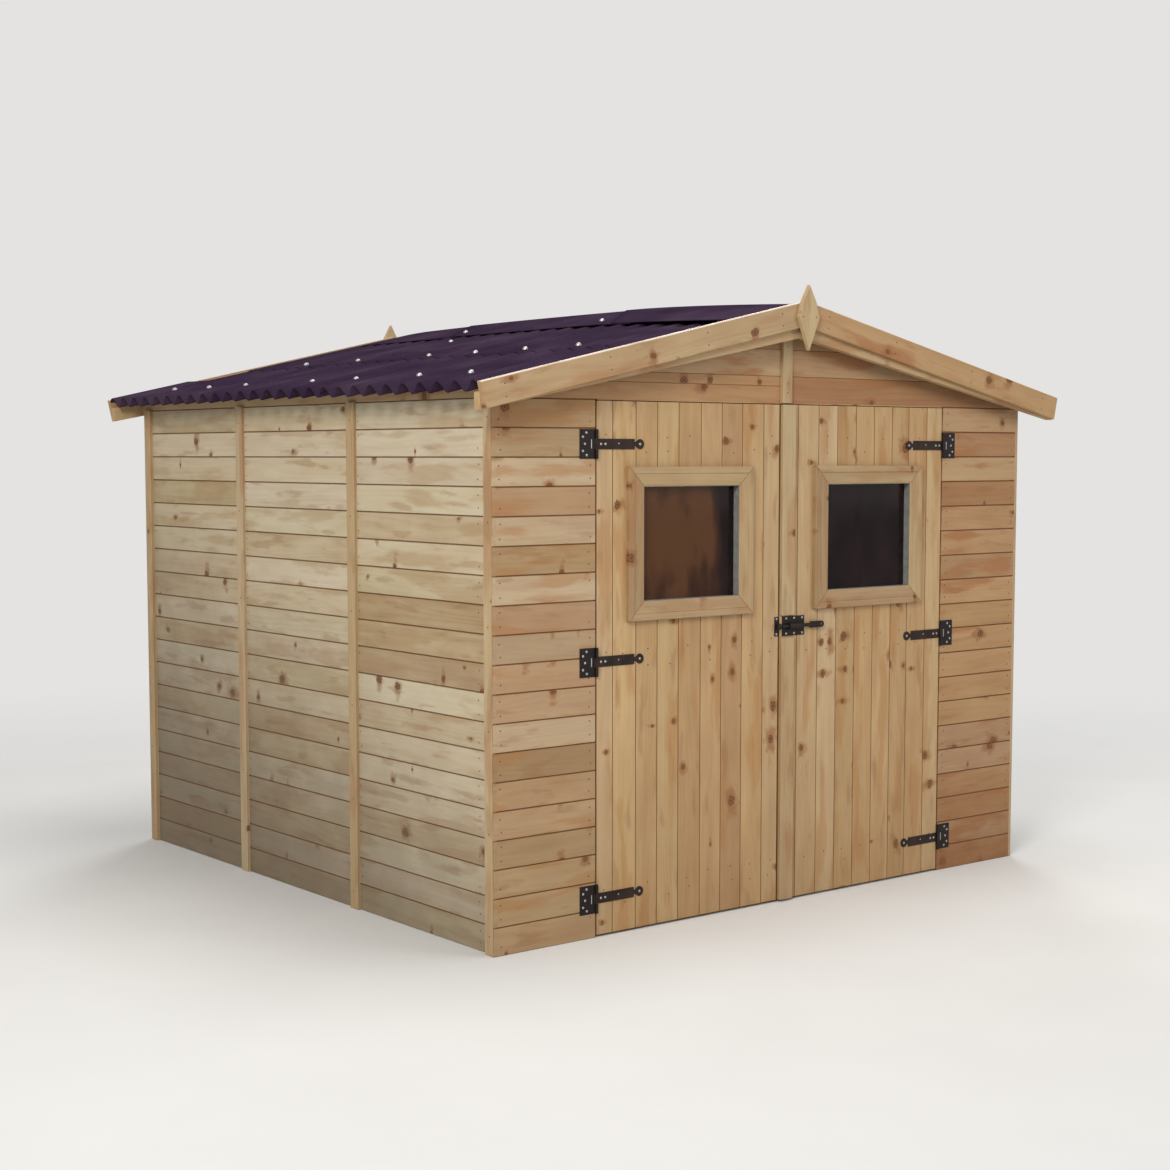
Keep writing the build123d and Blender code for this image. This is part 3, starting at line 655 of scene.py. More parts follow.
frame_wide, bead_wide = 63, 10
for side, _ in both_sides:
    node, body = f"{side}_window_frame", f"{side}_door"
    boxes = solids(node)
    low, high = np.min([p[0] for p in boxes], axis=0), np.max([p[1] for p in boxes], axis=0)
    deep, foot = (front_face - low[1]) / MM, (high[1] - front_face) / MM
    # in mm: rounded outer edge, a flat band, a fine dark quirk, then a face that falls to the lip
    moulding = np.array([
        (0, 0), (frame_wide, 0), (frame_wide, deep - 4.6), (frame_wide - 1.5, deep - 3.2),
        (frame_wide - 4.5, deep - 2.6), (24, deep - 1.6), (22.8, deep - 2.8),
        (21.8, deep - 0.6), (20.5, deep), (2.5, deep), (0, deep - 2.5),
    ]) * MM
    frame_bars = mitred(low, high, moulding, front_face)
    join(f"{side}_window_moulding", frame_bars, trim_spruce, body, [node])
    # grey glazing bead: a lip lines the frame's inner edge and a foot holds the pane
    inset = np.array([frame_wide - bead_wide, 0, frame_wide - bead_wide]) * MM
    bead = np.array([
        (0, 0), (bead_wide + 1.2, 0), (bead_wide + 1.2, foot + deep - 5.5),
        (bead_wide + 0.1, foot + deep - 5.5), (bead_wide + 0.1, foot - 0.3), (0, foot - 0.3),
    ]) * MM
    beads = mitred(low + inset, high - inset, bead, high[1], gap=0.2 * MM)
    join(f"{side}_glazing_bead", beads, rubber_grey, body)

# %% [markdown]
# ## Cover strips
# Planed strips cover the panel joints and corners. The frame's own strips have the right
# size but sharp edges and no grain, so each becomes a bar like the rest.


# %% Nail on the strips
def strips(node, out):
    """Upright strips at the node's solids, thin along out, with eased outer edges."""
    thick_axis = int(np.argmax(np.abs(out)))
    wide_axis = 1 - thick_axis
    parts = []
    for low, high in solids(node):
        if node == "left_cover_strips" and low[1] < -1.17:
            # the corner strip starts behind the lip of the front boards
            low = low + Y * corner_lip
        corner, size = low.copy(), high - low
        corner[thick_axis] = low[thick_axis] if out[thick_axis] > 0 else high[thick_axis]
        section = plank(size[wide_axis], size[thick_axis], 2.0 * MM, 2.0 * MM)
        tone, across = rng.uniform(0.05, 0.4), np.eye(3)[wide_axis]
        parts.append(bar(corner, Z, across, out, size[2], section, tone=tone, dirt_and_shade=0.35))
    return parts


for name, node, out, body in (
    ("left_strips", "left_cover_strips", -X, "shed"), ("right_strips", "right_cover_strips", X, "shed"),
    ("back_strips", "back_cover_strips", Y, "shed"), ("gable_strip", "front_gable_strip", -Y, "shed"),
    ("meeting_strip", "meeting_strips", -Y, "right_door"),
):
    join(name, strips(node, out), trim_spruce, body, [node])

# %% [markdown]
# ## Bargeboards
# Bargeboards cover the ends of the roof. They run up the slope, cut square at the foot and
# plumb where they meet. A turned cube would need its end sawn off; in a bar only the upper
# end slants, by the tangent of the pitch.

# %% Fit the bargeboards
for face, _ in both_faces:
    for side, sign in both_sides:
        node = f"bargeboard_{face}_{side}"
        (low, high), = solids(node)
        size = high - low
        # the box is as high as the rise of the span plus the foot, whose square cut leans in
        tall = (size[2] - size[0] * tan(pitch)) / cos(pitch)
        run = np.array([-sign * cos(pitch), 0, sin(pitch)])
        across = np.array([sign * sin(pitch), 0, cos(pitch)])
        out, y = (-Y, high[1]) if face == "front" else (Y, low[1])
        inset = tall * sin(pitch)
        heel = (sign * (max(abs(low[0]), abs(high[0])) - inset), y, low[2])
        length = (size[0] - inset) / cos(pitch)
        # the right-hand boards are of the same warm batch as the gable
        finish, paler = (heart_spruce, 0.38) if sign > 0 else (trim_spruce, 0.0)
        tone, section = rng.uniform(0.35, 0.6) - paler, plank(tall, size[1], 2.0 * MM, 3.2 * MM)
        board = bar(heel, run, across, out, length, section, (0, tan(pitch)), tone=tone, dirt_and_shade=0)
        piece = join(f"barge_{face}_{side}", [board], finish, "shed", [node])
        # painted highlight: faces that look up and to the left are paler
        piece.data.materials.append(painted_highlight_spruce)
        facing = np.empty(3 * len(piece.data.polygons))
        piece.data.polygons.foreach_get("normal", facing)
        highlight_faces = (facing[2::3] > 0.5) & (facing[0::3] < 0)
        # these faces take the painted highlight
        piece.data.polygons.foreach_set("material_index", highlight_faces.astype(np.int32))


# %% [markdown]
# ## Finials
# A pointed finial hides where two bargeboards meet. It is cut with a jigsaw, so no bar has
# its shape: an outline is carried through the thickness, as Extrude would, and is a little
# smaller at front and back for the eased edge.


# %% Saw out the finials
def sawn_shape(outline, base, out, thick, ease):
    """An outline in x and z carried along out: four loops, the first and last moved in by
    ease along the mean of their two edge normals. Grain runs up the piece."""
    outline = np.asarray(outline, float)
    edge = np.roll(outline, -1, axis=0) - outline
    normal = np.stack([edge[:, 1], -edge[:, 0]], axis=1) / np.linalg.norm(edge, axis=1, keepdims=True)
    mean = normal + np.roll(normal, 1, axis=0)
    mean /= (mean * mean).sum(axis=1, keepdims=True) / 2
    depth = np.array([0, ease, thick - ease, thick])[:, None]
    inset = np.array([ease, 0, 0, ease])[:, None, None]
    x, z = np.moveaxis(outline - mean * inset, -1, 0)
    points = np.stack(np.broadcast_arrays(x, base + out * depth, z), axis=-1).reshape(-1, 3)
    faces = capped(len(outline), 4)
    if out > 0:
        faces = [face[::-1] for face in faces]
    grain = points[:, [2, 0, 1]] + rng.uniform(0, 40, 3)
    return points, faces, grain, np.full(len(points), 0.2), np.zeros(len(points))


# the finial is planed this much under its box, which leaves room for the nail heads
finial_planed = 0.7 * MM
shoulder_drop, waist_drop, shoulder = 0.27, 0.49, 32.5 * MM
for face, out in both_faces:
    (low, high), = solids(f"finial_{face}")
    top, tall, waist = high[2], high[2] - low[2], high[0]
    shoulder_z, waist_z = top - shoulder_drop * tall, top - waist_drop * tall
    outline = [
        (0, top), (-shoulder, shoulder_z), (-waist, waist_z),
        (0, low[2]), (waist, waist_z), (shoulder, shoulder_z),
    ]
    base = high[1] if out < 0 else low[1]
    shape = sawn_shape(outline, base, out, high[1] - low[1] - finial_planed, 2 * MM)
    join(f"{face}_finial", [shape], trim_spruce, "shed", [f"finial_{face}"])

# %% [markdown]
# ## Posts, rails and ledges
# The timbers inside are sawn and not planed, a little darker and rougher than the boards.
# Painting the frame's own meshes would give them all one grain, so each one is a bar
# along its box's longest side, with the edges hardly broken. The sloping timbers of the
# roof keep their meshes, whose shape is already right.


# %% Saw the framing
def sawn_section(wide, thin, ease=0.5 * MM):
    """A rectangle with its four corners just broken."""
    return [
        (ease, 0), (wide - ease, 0), (wide, ease), (wide, thin - ease),
        (wide - ease, thin), (ease, thin), (0, thin - ease), (0, ease),
    ]


def upright_or_level(low, high):
    """A timber that fills its box, with the grain along the longest side."""
    size, axes = high - low, np.eye(3)
    run, wide, thin = np.argsort(-size)
    section = sawn_section(size[wide], size[thin])
    return bar(low, axes[run], axes[wide], axes[thin], size[run], section, dirt_and_shade=0)


def brace(low, high, inward, wide=70 * MM):
    """From the hinge side's foot to the far head of its box, both ends cut level: in the
    timber's own frame a level cut slants by (distance gone)/(height risen)."""
    gone, risen = high[0] - low[0] - wide, high[2] - low[2]
    length, slant = np.hypot(gone, risen), gone / risen
    run = np.array([inward * gone, 0, risen]) / length
    across = np.array([inward * risen, 0, -gone]) / length
    foot = (low[0] if inward > 0 else high[0], low[1], low[2])
    section = sawn_section(wide * risen / length, high[1] - low[1])
    return bar(foot, run, across, Y, length, section, (slant, slant), dirt_and_shade=0)


for node in ("wall_posts", "wall_rails"):
    timbers = [upright_or_level(low, high) for low, high in solids(node)]
    join(f"{node}_sawn", timbers, batten_spruce, "shed", [node])
for side, sign in both_sides:
    node, level_height = f"{side}_door_ledges", 0.2
    timbers = [
        brace(low, high, -sign) if high[2] - low[2] > level_height else upright_or_level(low, high)
        for low, high in solids(node)
    ]
    join(f"{side}_ledges_sawn", timbers, batten_spruce, f"{side}_door", [node])

# %% [markdown]
# ## Bitumen roof sheets
# The roof is corrugated bitumen: board soaked in bitumen and pressed into waves, 95 mm
# from crest to crest, matt and slightly fibrous. A wave could be displaced into a flat
# grid, but a surface computed from the formula keeps an even thickness. Three sheets lie
# side by side in each row and share a wave where they lap, the middle one on top.


# %% Roll the roof sheets
wave_pitch, wave_high, skin = 95 * MM, 38 * MM, 3 * MM


def closed_skins(count, loops):
    """Faces of a lower and an upper skin, laid out as loops of count points that go out on
    the lower one and back on the upper, with a strip of quads between them at each end."""
    m = np.arange(count // 2 - 1)
    end = np.stack([m, m + 1, count - 2 - m, count - 1 - m], axis=1)
    return np.concatenate([loop_quads(count, loops), end[:, ::-1], end + (loops - 1) * count])


def wavy(y):
    """Height of the underside over its troughs and the slope there: a cosine of the wave
    pitch, drawn a little towards flat crests."""
    swing, turns = (wave_high - skin) / 2, 2 * pi / wave_pitch
    height = 1 + np.cos(turns * y) - 0.06 * (np.cos(2 * turns * y) - 1)
    slope = np.sin(turns * y) - 0.12 * np.sin(2 * turns * y)
    return swing * height, -swing * turns * slope


def sheet(side, near, far, y0, y1, lift):
    """Underside point (i, j) is on the roof plane at distance |x| = i-th step, raised by
    lift + wave(y_j); the upper skin is that plus 3 mm along the wave's own normal. The two
    skins are one closed tube round the sheet's section, with the ends as caps. The last
    waves are pressed down by their nails: at the back verge, and under the front cap."""
    steps_to_a_wave = 12
    y = np.linspace(y0, y1, int(round((y1 - y0) / wave_pitch * steps_to_a_wave)) + 1)
    height, slope = wavy(y)
    stretch = np.sqrt(1 + slope**2)
    along = np.clip(np.concatenate([y, (y - skin * slope / stretch)[::-1]]), y0, y1)
    height = np.concatenate([height, (height + skin / stretch)[::-1]])
    x = np.linspace(near, far, 9)[:, None]
    back = np.clip((along - 1.09) / 0.05, 0, 1) * np.clip((0.98 - x) / 0.15, 0, 1)
    front = np.clip((-along - 0.65) / 0.45, 0, 1) * np.clip((0.6 - x) / 0.25, 0, 1)
    pressed = 0.85 * back + 0.7 * front
    height = height * (1 - pressed) + skin * pressed * (height > 20 * MM)
    base = ridge_height - x * tan(pitch) + lift / cos(pitch)
    places = [side * (x + height * sin(pitch)), along, base + height * cos(pitch)]
    faces = closed_skins(len(along), len(x))
    if side < 0:
        faces = faces[:, ::-1]
    return np.stack(np.broadcast_arrays(*places), axis=-1).reshape(-1, 3), faces.tolist()


# matt and dead dark, with a fibrous grit; what light it gives back is all diffuse
bitumen = mottled(
    "pressed_bitumen_fibre_aubergine", [(0.45, "#2A1F2F"), (0.7, "#342738"), (1.0, "#453746")], 3.2, 5.0,
    rough=(0.25, 0.66), grit=(260.0, 2.0, 0.45, 0.4, 0.4 * MM), sockets={"Specular IOR Level": 0.0},
)
# rows: distance of the upper and lower edge from the ridge line, and the lift off the purlins
rows = {"lower": (665.1 * MM, 1319 * MM, 0.3 * MM), "upper": (25.8 * MM, 815.2 * MM, 3.8 * MM)}
# sheets of a row: where each starts and ends, in waves, and how far it lies above its neighbours
laps = [(-13.25, -3.72, 0.0), (-4.25, 4.25, 2.88 * MM), (3.72, 13.25, 0.0)]
for side, sign in both_sides:
    for row, (near, far, lift) in rows.items():
        parts = [sheet(sign, near, far, a * wave_pitch, b * wave_pitch, lift + rise) for a, b, rise in laps]
        node = f"roof_sheet_{side}_{row}"
        join(f"roof_{side}_{row}", parts, bitumen, "shed", [node], smooth=True)

# %% [markdown]
# ## Ridge capping
# Three lapped caps are folded over the ridge and nailed down by hand, so their line bows
# and dips. A folded plate would look too true: the top is a formula of both distances, and
# the lower skin is the same surface 3 mm down.

# %% Cap the ridge
wing = np.max(solids("ridge_caps"), axis=0)[1][0]
cap_height, fold_radius = 42.3 * MM, 22 * MM


def cap_top(x, y, lift):
    """Top of the ridge capping: z falls with sqrt(x*x + r*r)*tan(pitch), a rounded roof
    line. It bows up in the middle of the ridge, most at the fold, and dips to both ends."""
    bow = 9 * MM * (1 - np.abs(x) / wing) * (1 - (y / 1.26) ** 2)
    dip = 24 * MM * np.clip((-y - 0.45) / 0.8, 0, 1) ** 1.4
    dip += 5 * MM * np.clip((y - 0.5) / 0.75, 0, 1) ** 1.5 + 15 * MM * np.clip((y - 1.04) / 0.2, 0, 1)
    crown = ridge_height + (cap_height + lift + skin) / cos(pitch)
    return crown - np.sqrt(x**2 + fold_radius**2) * tan(pitch) + bow - dip


def ridge_cap(y0, y1, lift, taper):
    """Two skins over a grid of x and y, the lower one 3 mm under the upper, closed round the
    rim. The back end is tapered: it starts taper*|x| sooner."""
    x, t = np.linspace(-wing, wing, 41), np.linspace(0, 1, 15)[:, None]
    y = y0 + (y1 - taper * np.abs(x) - y0) * t
    upper = np.stack([x + 0 * y, y, cap_top(x, y, lift)], axis=-1)
    points = np.concatenate([upper - (0, 0, skin), upper[:, ::-1]], axis=1)
    return points.reshape(-1, 3), closed_skins(2 * len(x), len(t))[:, ::-1].tolist()


end_y = 1258.75 * MM
caps = [
    ridge_cap(-end_y, -0.34, 6 * MM, 0.9), ridge_cap(-0.72, 0.66, 3 * MM, 0.9),
    ridge_cap(0.34, end_y, 0, 0.0),
]
join("ridge_capping", caps, bitumen, "shed", ["ridge_caps"], smooth=True)

# %% [markdown]
# ## Black ironwork, zinc and rust
# Hinges and bolt are steel under a black finish that is a little rough. The screws are
# zinc-plated, bright with dull spots, and the plain wire nails rust brown as soon as the
# wood is damp. All of them are mottled finishes, which differ in their hues and grit.


# %% Steel, zinc and rust
def coated_steel(name, dark, light):
    """Sheet steel under a thin black coat, whose orange-peel skin a fine noise makes."""
    orange_peel = (420.0, 3.0, 0.3, 0.3, 0.15 * MM)
    stops, sockets = [(0.5, dark), (0.85, light)], {"Specular IOR Level": 0.22}
    return mottled(name, stops, 30.0, 4.0, grit=orange_peel, sockets=sockets)


# the straps, handled with every opening, show the brown primer under the black
black_steel = coated_steel("black_powder_coated_steel", "#120D0C", "#1F1715")
strap_steel = coated_steel("black_steel_worn_to_primer", "#1C110D", "#33211A")
zinc = mottled(
    "zinc_plated_steel", [(0.3, "#8C888C"), (0.7, "#BDB8BA")], 300.0, 3.0,
    rough=(0.3, 0.25), sockets={"Metallic": 0.6},
)
rusty = mottled("rusted_wire_nail", [(0.3, "#3A2B22"), (0.7, "#5C4636")], 500.0, 2.0, rough=(0.0, 0.7))
print("finishes", [made.name for made in (black_steel, strap_steel, zinc, rusty)])

# %% [markdown]
# ## Window panes
# The panes are clear acrylic with a smoky tint, through which the dark inside of the shed
# shows. Real refraction is slow and noisy for so thin a sheet, so a dark glossy skin lets
# a fifth of the light past. A painted reflection makes the left pane browner, in soft upright
# smears, and leaves its right end and the right pane dark.

# %% Acrylic panes
acrylic, put, shader = new_material("clear_acrylic_sheet_tinted")
spot = put("TexCoord", out="Object")
upright = put("VectorMath MULTIPLY", spot, (9, 1, 5))
reflection_smears = put("TexNoise", {"Vector": upright, "Scale": 1.0, "Detail": 3.0, "Roughness": 0.55}, out="Fac")
# painted reflection: the left pane browner, in upright smears, its right end dark
reflection_on_left = put("MapRange", put("SeparateXYZ", spot), -0.25, -0.34, **soft)
ramp = put("ValToRGB", put("Math MULTIPLY_ADD", reflection_on_left, 0.5, reflection_smears), out=None)
plug(shader, {
    "Base Color": set_ramp(ramp, [(0.35, "#1A1112"), (0.6, "#261819"), (0.85, "#42291C"), (1.0, "#5C3C26")]),
    "Roughness": put("Math MULTIPLY_ADD", reflection_smears, 0.12, 0.02),
    "IOR": 1.49, "Specular IOR Level": 0.3, "Alpha": 0.80,
})

for material, names in (
    (sawn["x"], ["gable_frames", "verge_battens"]), (sawn["y"], ["purlins"]),
    (black_steel, ["left_hinge_plates", "right_hinge_plates", "bolt_bar", "bolt_keep", "bolt_plate"]),
    (strap_steel, ["left_hinge_straps", "right_hinge_straps"]),
    (acrylic, ["left_window_pane", "right_window_pane"]),
):
    for name in names:
        nodes[name].data.materials.clear()
        nodes[name].data.materials.append(material)
    print(material.name, names)

# %% [markdown]
# ## Nails and screws
# A nail head is a small low dome, a screw head is a dome with a hollow drive, a roofing
# nail has a tall cap. All three are a short curve turned round an axis, and hundreds of
# them must stay cheap, so each has only eight or twelve sides. They are all worked out
# at once: one array holds every head's centre, and the turned curve is added to it.


# %% Turn the heads
# each kind: its curve in mm, from the axis out over the rim and back, its sides, finish and slot
wire_nail = ([(0, -0.6), (2.6, -0.6), (2.6, 0.15), (1.7, 0.5), (0, 0.55)], 8, rusty, "black_steel")
screw, roofing_nail, strap_hole = (
    (curve, 12, zinc, "bolt_steel")
    for curve in (
        [(0, -0.5), (4.2, -0.5), (4.2, 0.4), (3.0, 1.5), (1.6, 1.8), (1.3, 0.7), (0, 0.5)],
        [(0, -3), (8, -3), (9.5, -2), (9.5, 0), (8, 4.2), (4.8, 7.2), (0, 8.4)],
        [(0, -0.4), (2.4, -0.4), (2.6, 0.1), (2.2, 0.25), (1.8, 0.05), (0, 0)],
    )
)
print("sides of a nail head and a screw head:", wire_nail[1], screw[1])


def heads(name, places, out, kind, body="shed"):
    """Point (n, i, j) = place n + r_i*(a*cos t_j + b*sin t_j) + h_i*out, for a curve of
    (r, h) pairs that starts and ends on the axis, where one point closes each end."""
    curve, sides, material, slot = kind
    places = np.asarray(places, float).reshape(-1, 3)
    out = np.asarray(out, float)
    a = np.cross(out, Z if abs(out[2]) < 0.9 else X)
    a /= np.linalg.norm(a)
    radius, height = np.asarray(curve, float).T * MM
    turn = np.arange(sides) * 2 * pi / sides
    circle = np.cos(turn)[:, None] * a + np.sin(turn)[:, None] * np.cross(out, a)
    rings = radius[1:-1, None, None] * circle + height[1:-1, None, None] * out
    shape = np.concatenate([rings.reshape(-1, 3), [height[0] * out, height[-1] * out]])
    points = (places[:, None] + shape).reshape(-1, 3)
    j = np.arange(sides)
    k = (j + 1) % sides
    start, last = len(shape) - 2, len(shape) - 2 - sides
    fans = np.concatenate([
        np.stack([j * 0 + start, k, j], axis=1), np.stack([j * 0 + start + 1, j + last, k + last], axis=1)
    ])
    shift = np.arange(len(places))[:, None, None] * len(shape)
    quads = (loop_quads(sides, len(rings)) + shift).reshape(-1, 4).tolist()
    return join(name, [(points, quads + (fans + shift).reshape(-1, 3).tolist())], material, body)


def scatter(columns, rows, spread=4 * MM, kept=1.0):
    """Every column place with every row place, each moved a little. Only a share
    of them, kept, shows."""
    u, v = np.meshgrid(columns, rows, indexing="ij")
    pairs = np.stack([u.ravel(), v.ravel()], axis=1)
    pairs = pairs + rng.uniform(-spread, spread, pairs.shape)
    return pairs[rng.random(len(pairs)) < kept] if kept < 1 else pairs


def on_wall(pairs, axis, level):
    """Pairs (along, height) put on a wall plane: axis 0 is a side wall, 1 an end wall."""
    return np.insert(pairs, axis, level, axis=1)


# %% [markdown]
# ## Where the nails go
# Nails follow the posts and ledges behind the boards. Scattering them over the faces would
# ignore those, so columns and rows are crossed, each nail strays a little as by hand, and
# on some walls a share stays out of sight, sunk in the wood.


# %% Nail the walls, doors and strips
def panel_ends(node, axis):
    """Where boards are nailed: 34 mm in from both ends of every panel."""
    inset = 34 * MM
    return np.concatenate([[low[axis] + inset, high[axis] - inset] for low, high in solids(node)])


# two nails at each board's end, in each of the nineteen courses
courses = (np.arange(19)[:, None] * board_cover + np.array([24, 66]) * MM).ravel()
side_ends = panel_ends("left_wall_panels", 1)
side_ends[0] += 12 * MM
for side, sign in both_sides:
    places = on_wall(scatter(side_ends, courses, kept=0.72), 0, sign * side_face)
    heads(f"{side}_wall_nails", places, sign * X, wire_nail)
places = on_wall(scatter(panel_ends("back_wall_panels", 0), courses), 1, back_face)
heads("back_wall_nails", places, Y, wire_nail)
front_ends = np.array([-1192, -846, 820, 1184]) * MM
heads("front_wall_nails", on_wall(scatter(front_ends, courses, kept=0.8), 1, front_face), -Y, wire_nail)

strip_rows = np.linspace(60, 1650, 6) * MM
for side, sign in both_sides:
    places = [
        [low[0] if sign < 0 else high[0], (low[1] + high[1]) / 2, z]
        for low, high in solids(f"{side}_cover_strips") for z in strip_rows
    ]
    heads(f"{side}_strip_nails", places, sign * X, wire_nail)
(strip_low, strip_high), = solids("front_gable_strip")
heads("gable_strip_nails", [[0, strip_low[1], z * MM] for z in (1745, 1775, 1900)], -Y, wire_nail)

ledge_rows = np.array([104, 148, 862, 906, 1548, 1592]) * MM
for side, joints in door_joints.items():
    (low, high), = solids(f"{side}_door_boards")
    edges = np.array([low[0], *joints, high[0]])
    pairs = scatter((edges[1:] + edges[:-1]) / 2, ledge_rows, 9 * MM, kept=0.6)
    heads(f"{side}_door_nails", on_wall(pairs, 1, front_face), -Y, wire_nail, f"{side}_door")

# %% [markdown]
# ## Nails of the roof
# Bargeboards and finials get wire nails in pairs. A roofing nail has a cap against the
# rain and goes through the crest of a wave, so its place is a whole number of waves. Both
# are typed in as lists, because a carpenter's choice follows no formula.

# %% Nail the roof edges and the roof
for face, out in both_faces:
    (low, high), = solids(f"finial_{face}")
    y = low[1] + finial_planed if out < 0 else high[1] - finial_planed
    z = high[2] - waist_drop * (high[2] - low[2])
    heads(f"{face}_finial_nails", [(-31 * MM, y, z), (29 * MM, y, z)], out * Y, wire_nail)
    (low, high), = solids(f"bargeboard_{face}_left")
    y = low[1] if out < 0 else high[1]
    x = np.array([1240, 1235, 840, 835, 440, 435, 110, 105]) * MM
    z = ridge_height - x * tan(pitch) + np.array([8, -32] * 4) * MM
    places = [[sign * a, y, b] for _, sign in both_sides for a, b in zip(x, z)]
    heads(f"{face}_barge_nails", places, out * Y, wire_nail)

# roofing nails stand on wave crests: rows at the eaves, the lap and the ridge, and two on the
# cap. Above the lap the sheets lie 4 mm higher.
crest = (wave_high + 0.6 * MM) / cos(pitch)
nail_rows = {
    1200: (950, 665, 380, -95, -380, -760, -1045), 783: (665, 285, -190, -475, -760, -1045), 430: (190,),
}
lap_row, on_cap = 820, 0.23
for side, sign in both_sides:
    places = [
        [sign * x * MM, y * MM, ridge_height - x * MM * tan(pitch) + crest + (4 * MM if x < lap_row else 0)]
        for x, along in nail_rows.items() for y in along
    ]
    places += [[sign * on_cap, y, cap_top(on_cap, y, 3.5 * MM)] for y in (0.38, -0.475)]
    heads(f"{side}_roofing_nails", places, [sign * sin(pitch), 0, cos(pitch)], roofing_nail)

# %% [markdown]
# ## Screws, slots and holes of the ironwork
# Each hinge has five screws in a zigzag on its plate, so that they don't split one grain
# line, and three along its strap. They sit where the drilled holes of such a hinge are,
# measured from the plate's own box.

# %% Screw the ironwork on
steel_face = front_face - 2.5 * MM
bolt_face = front_face - 2 * MM
plate_zigzag = ((26, 35), (12, 22), (20, 0), (12, -22), (27, -35))
tongue_section = np.array([(0, 0), (3.6, 0), (3.1, 0.5), (0.5, 0.5)]) * MM
for side, sign in both_sides:
    # distances are measured from the outer edge of each plate and strap, towards the doors
    plate_screws, strap_screws, slots, holes = [], [], [], []
    for low, high in solids(f"{side}_hinge_plates"):
        edge, z = low[0] if sign < 0 else high[0], (low[2] + high[2]) / 2
        plate_screws += [[edge - sign * a * MM, steel_face, z + b * MM] for a, b in plate_zigzag]
        slots.append((edge - sign * 46 * MM - 1.8 * MM, steel_face, z - 14 * MM))
    for low, high in solids(f"{side}_hinge_straps"):
        edge, z = low[0] if sign < 0 else high[0], (low[2] + high[2]) / 2
        strap_screws += [[edge - sign * a * MM, steel_face, z] for a in (24, 42, 184)]
        holes.append([edge - sign * 96 * MM, steel_face, z + 2 * MM])
    heads(f"{side}_plate_screws", plate_screws, -Y, screw)
    heads(f"{side}_strap_screws", strap_screws, -Y, screw, f"{side}_door")
    heads(f"{side}_strap_holes", holes, -Y, strap_hole, f"{side}_door")
    tongues = [bar(slot, Z, X, -Y, 28 * MM, tongue_section) for slot in slots]
    join(f"{side}_hinge_tongues", tongues, zinc, "shed")

(low, high), = solids("bolt_plate")
levels = [(low[2] + high[2]) / 2 + b * MM for b in (-26, 26)]
places = [[low[0] + a * MM, bolt_face, z] for a in (18.5, 56, 94) for z in levels]
heads("bolt_screws", places, -Y, screw, "right_door")
(low, high), = solids("bolt_keep")
heads("keep_screws", [[(low[0] + high[0]) / 2, bolt_face, z] for z in levels], -Y, screw, "left_door")

# %% [markdown]
# ## Floor and backdrop
# The shed stands on a plain pale floor, which keeps its shadow. More light could turn the
# background pale, but it would wash out the boards. So to the camera alone the floor fades
# into the same pale grey as the world, and no horizon line cuts behind the roof.

# %% Floor and backdrop
grid_u, grid_v = np.meshgrid(np.linspace(-40, 40, 9), np.linspace(-40, 40, 9), indexing="ij")
ground = np.stack([grid_u, grid_v, 0 * grid_u - 0.5 * MM], axis=-1).reshape(-1, 3)
at = (np.arange(8)[:, None] * 9 + np.arange(8)).reshape(-1)
mesh = bpy.data.meshes.new("floor")
mesh.from_pydata(ground, [], np.stack([at, at + 9, at + 10, at + 1], axis=1).tolist())
floor = bpy.data.objects.new("floor", mesh)
bpy.context.scene.collection.objects.link(floor)
paper = mottled("pale_floor", [(0.2, "#D2D1CE"), (0.8, "#D8D7D4")], 1.5, 4.0, rough=(0.0, 0.9))
mesh.materials.append(paper)
# far from the shed, what the camera sees of the floor turns into the backdrop's own tone
backdrop, put = linear("#E4E3E1"), adder(paper.node_tree)
away = put("VectorMath LENGTH", put("TexCoord", out="Object"), out="Value")
seen = put("LightPath", out="Is Camera Ray")
fade = put("Math MULTIPLY", put("MapRange", away, 2.2, 6.5, **soft), seen)
glow = put("Emission", {"Color": backdrop, "Strength": 1.0})
made = paper.node_tree.nodes
near_and_far = put("MixShader", fade, made["Principled BSDF"].outputs[0], glow)
plug(made["Material Output"], {"Surface": near_and_far})

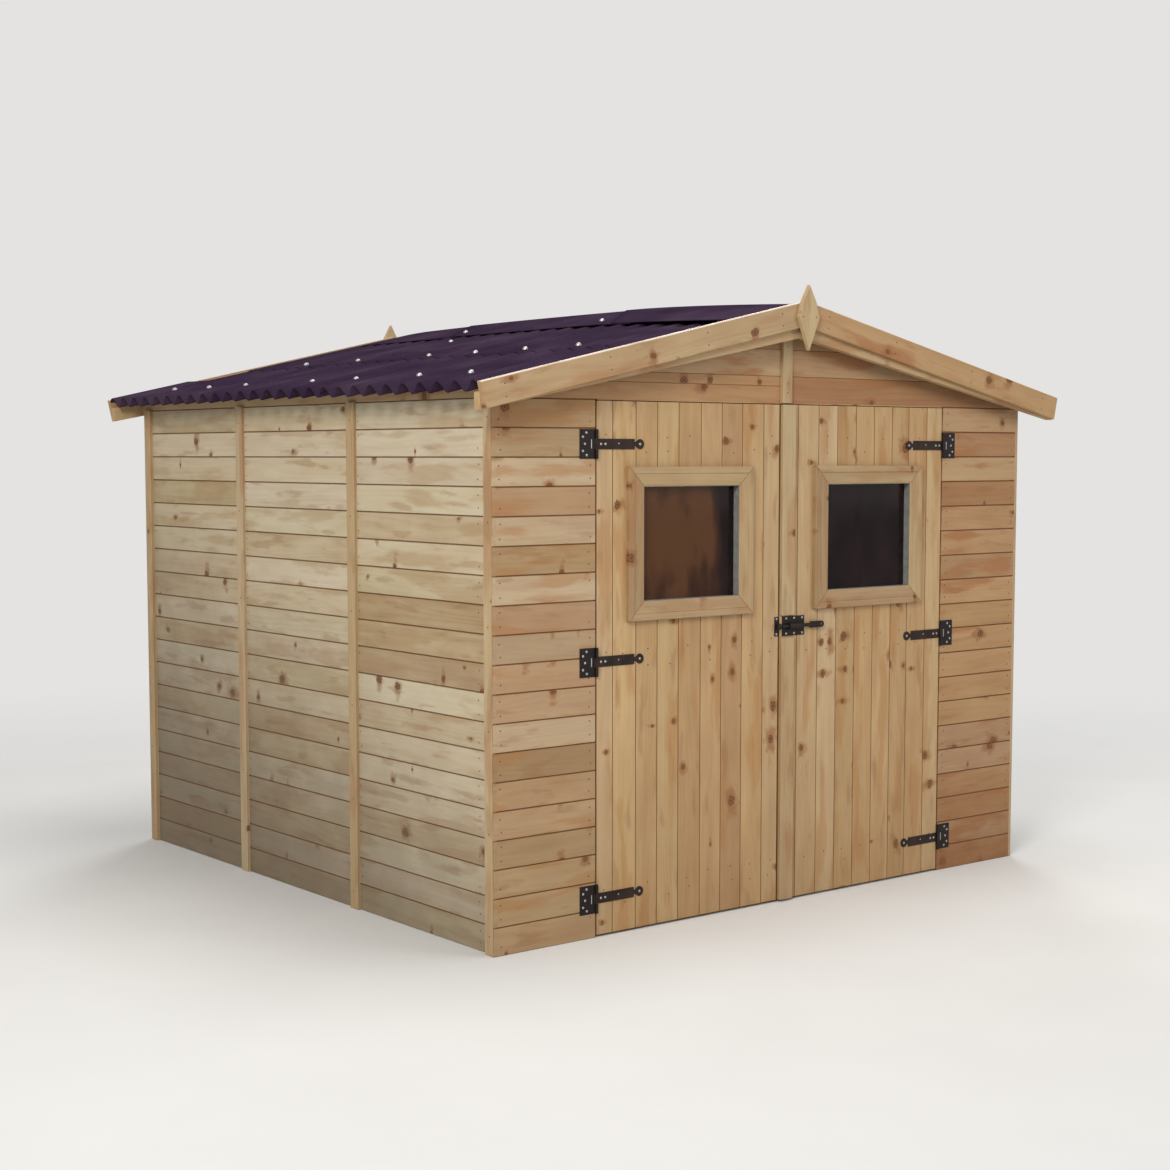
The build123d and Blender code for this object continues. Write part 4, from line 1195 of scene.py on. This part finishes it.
world = bpy.data.worlds.new("studio")
bpy.context.scene.world = world
world.use_nodes = True
world.node_tree.nodes.clear()
put = adder(world.node_tree)
path = put("LightPath", out=None).outputs
seen = put("Math MAXIMUM", path["Is Camera Ray"], path["Is Glossy Ray"])
seen = put("Math MAXIMUM", seen, path["Is Transmission Ray"])
fill = put("Background", {"Color": linear("#EEF1F6"), "Strength": 0.50})
back = put("Background", {"Color": backdrop, "Strength": 1.0})
put("OutputWorld", put("MixShader", seen, fill, back), out=None)
print("floor", len(mesh.polygons), "faces")

# %% [markdown]
# ## Lamps and camera
# Big soft lamps light the shed evenly from the camera's side, as a bright sky does, so that
# the boards keep their own colour. One sun would be simpler, but its hard shadows would
# cross the doors. The lens is a little longer than the eye's, so that the walls stand true.


# %% Lamps and camera
def soft_lamp(name, place, aim, size, power, tint="#FFFFFF"):
    """An area lamp at a place, turned towards its aim."""
    lamp = bpy.data.lights.new(name, "AREA")
    lamp.shape, lamp.size, lamp.energy, lamp.color = "DISK", size, power, linear(tint)[:3]
    made = bpy.data.objects.new(name, lamp)
    bpy.context.scene.collection.objects.link(made)
    made.location = place
    made.rotation_euler = (Vector(aim) - Vector(place)).to_track_quat("-Z", "Y").to_euler()


soft_lamp("key", (-6.8, -5.2, 5.2), (-1.0, -0.8, 1.2), 3.0, 500, "#FFFBF5")
soft_lamp("front", (4.5, -8.5, 4.0), (0, 0, 1.0), 3.5, 160, "#FFF9F0")
soft_lamp("above", (0.5, -1.0, 8.0), (0, 0, 1.0), 4.0, 260)
soft_lamp("rear", (6.0, 6.5, 6.0), (0, 0, 1.0), 4.0, 300)

lens = bpy.data.cameras.new("camera")
lens.lens, lens.sensor_width = 59.44, 36.0
lens.shift_x, lens.shift_y = -0.00496, 0.0243
lens.clip_start, lens.clip_end = 0.1, 200
camera = bpy.data.objects.new("camera", lens)
bpy.context.scene.collection.objects.link(camera)
camera.location = (-4.6017, -5.9203, 1.5336)
camera.rotation_euler = (radians(85.33), 0, radians(-38.43))
bpy.context.scene.camera = camera
bpy.context.scene.view_settings.view_transform = "Standard"
print("lens", lens.lens, "mm")
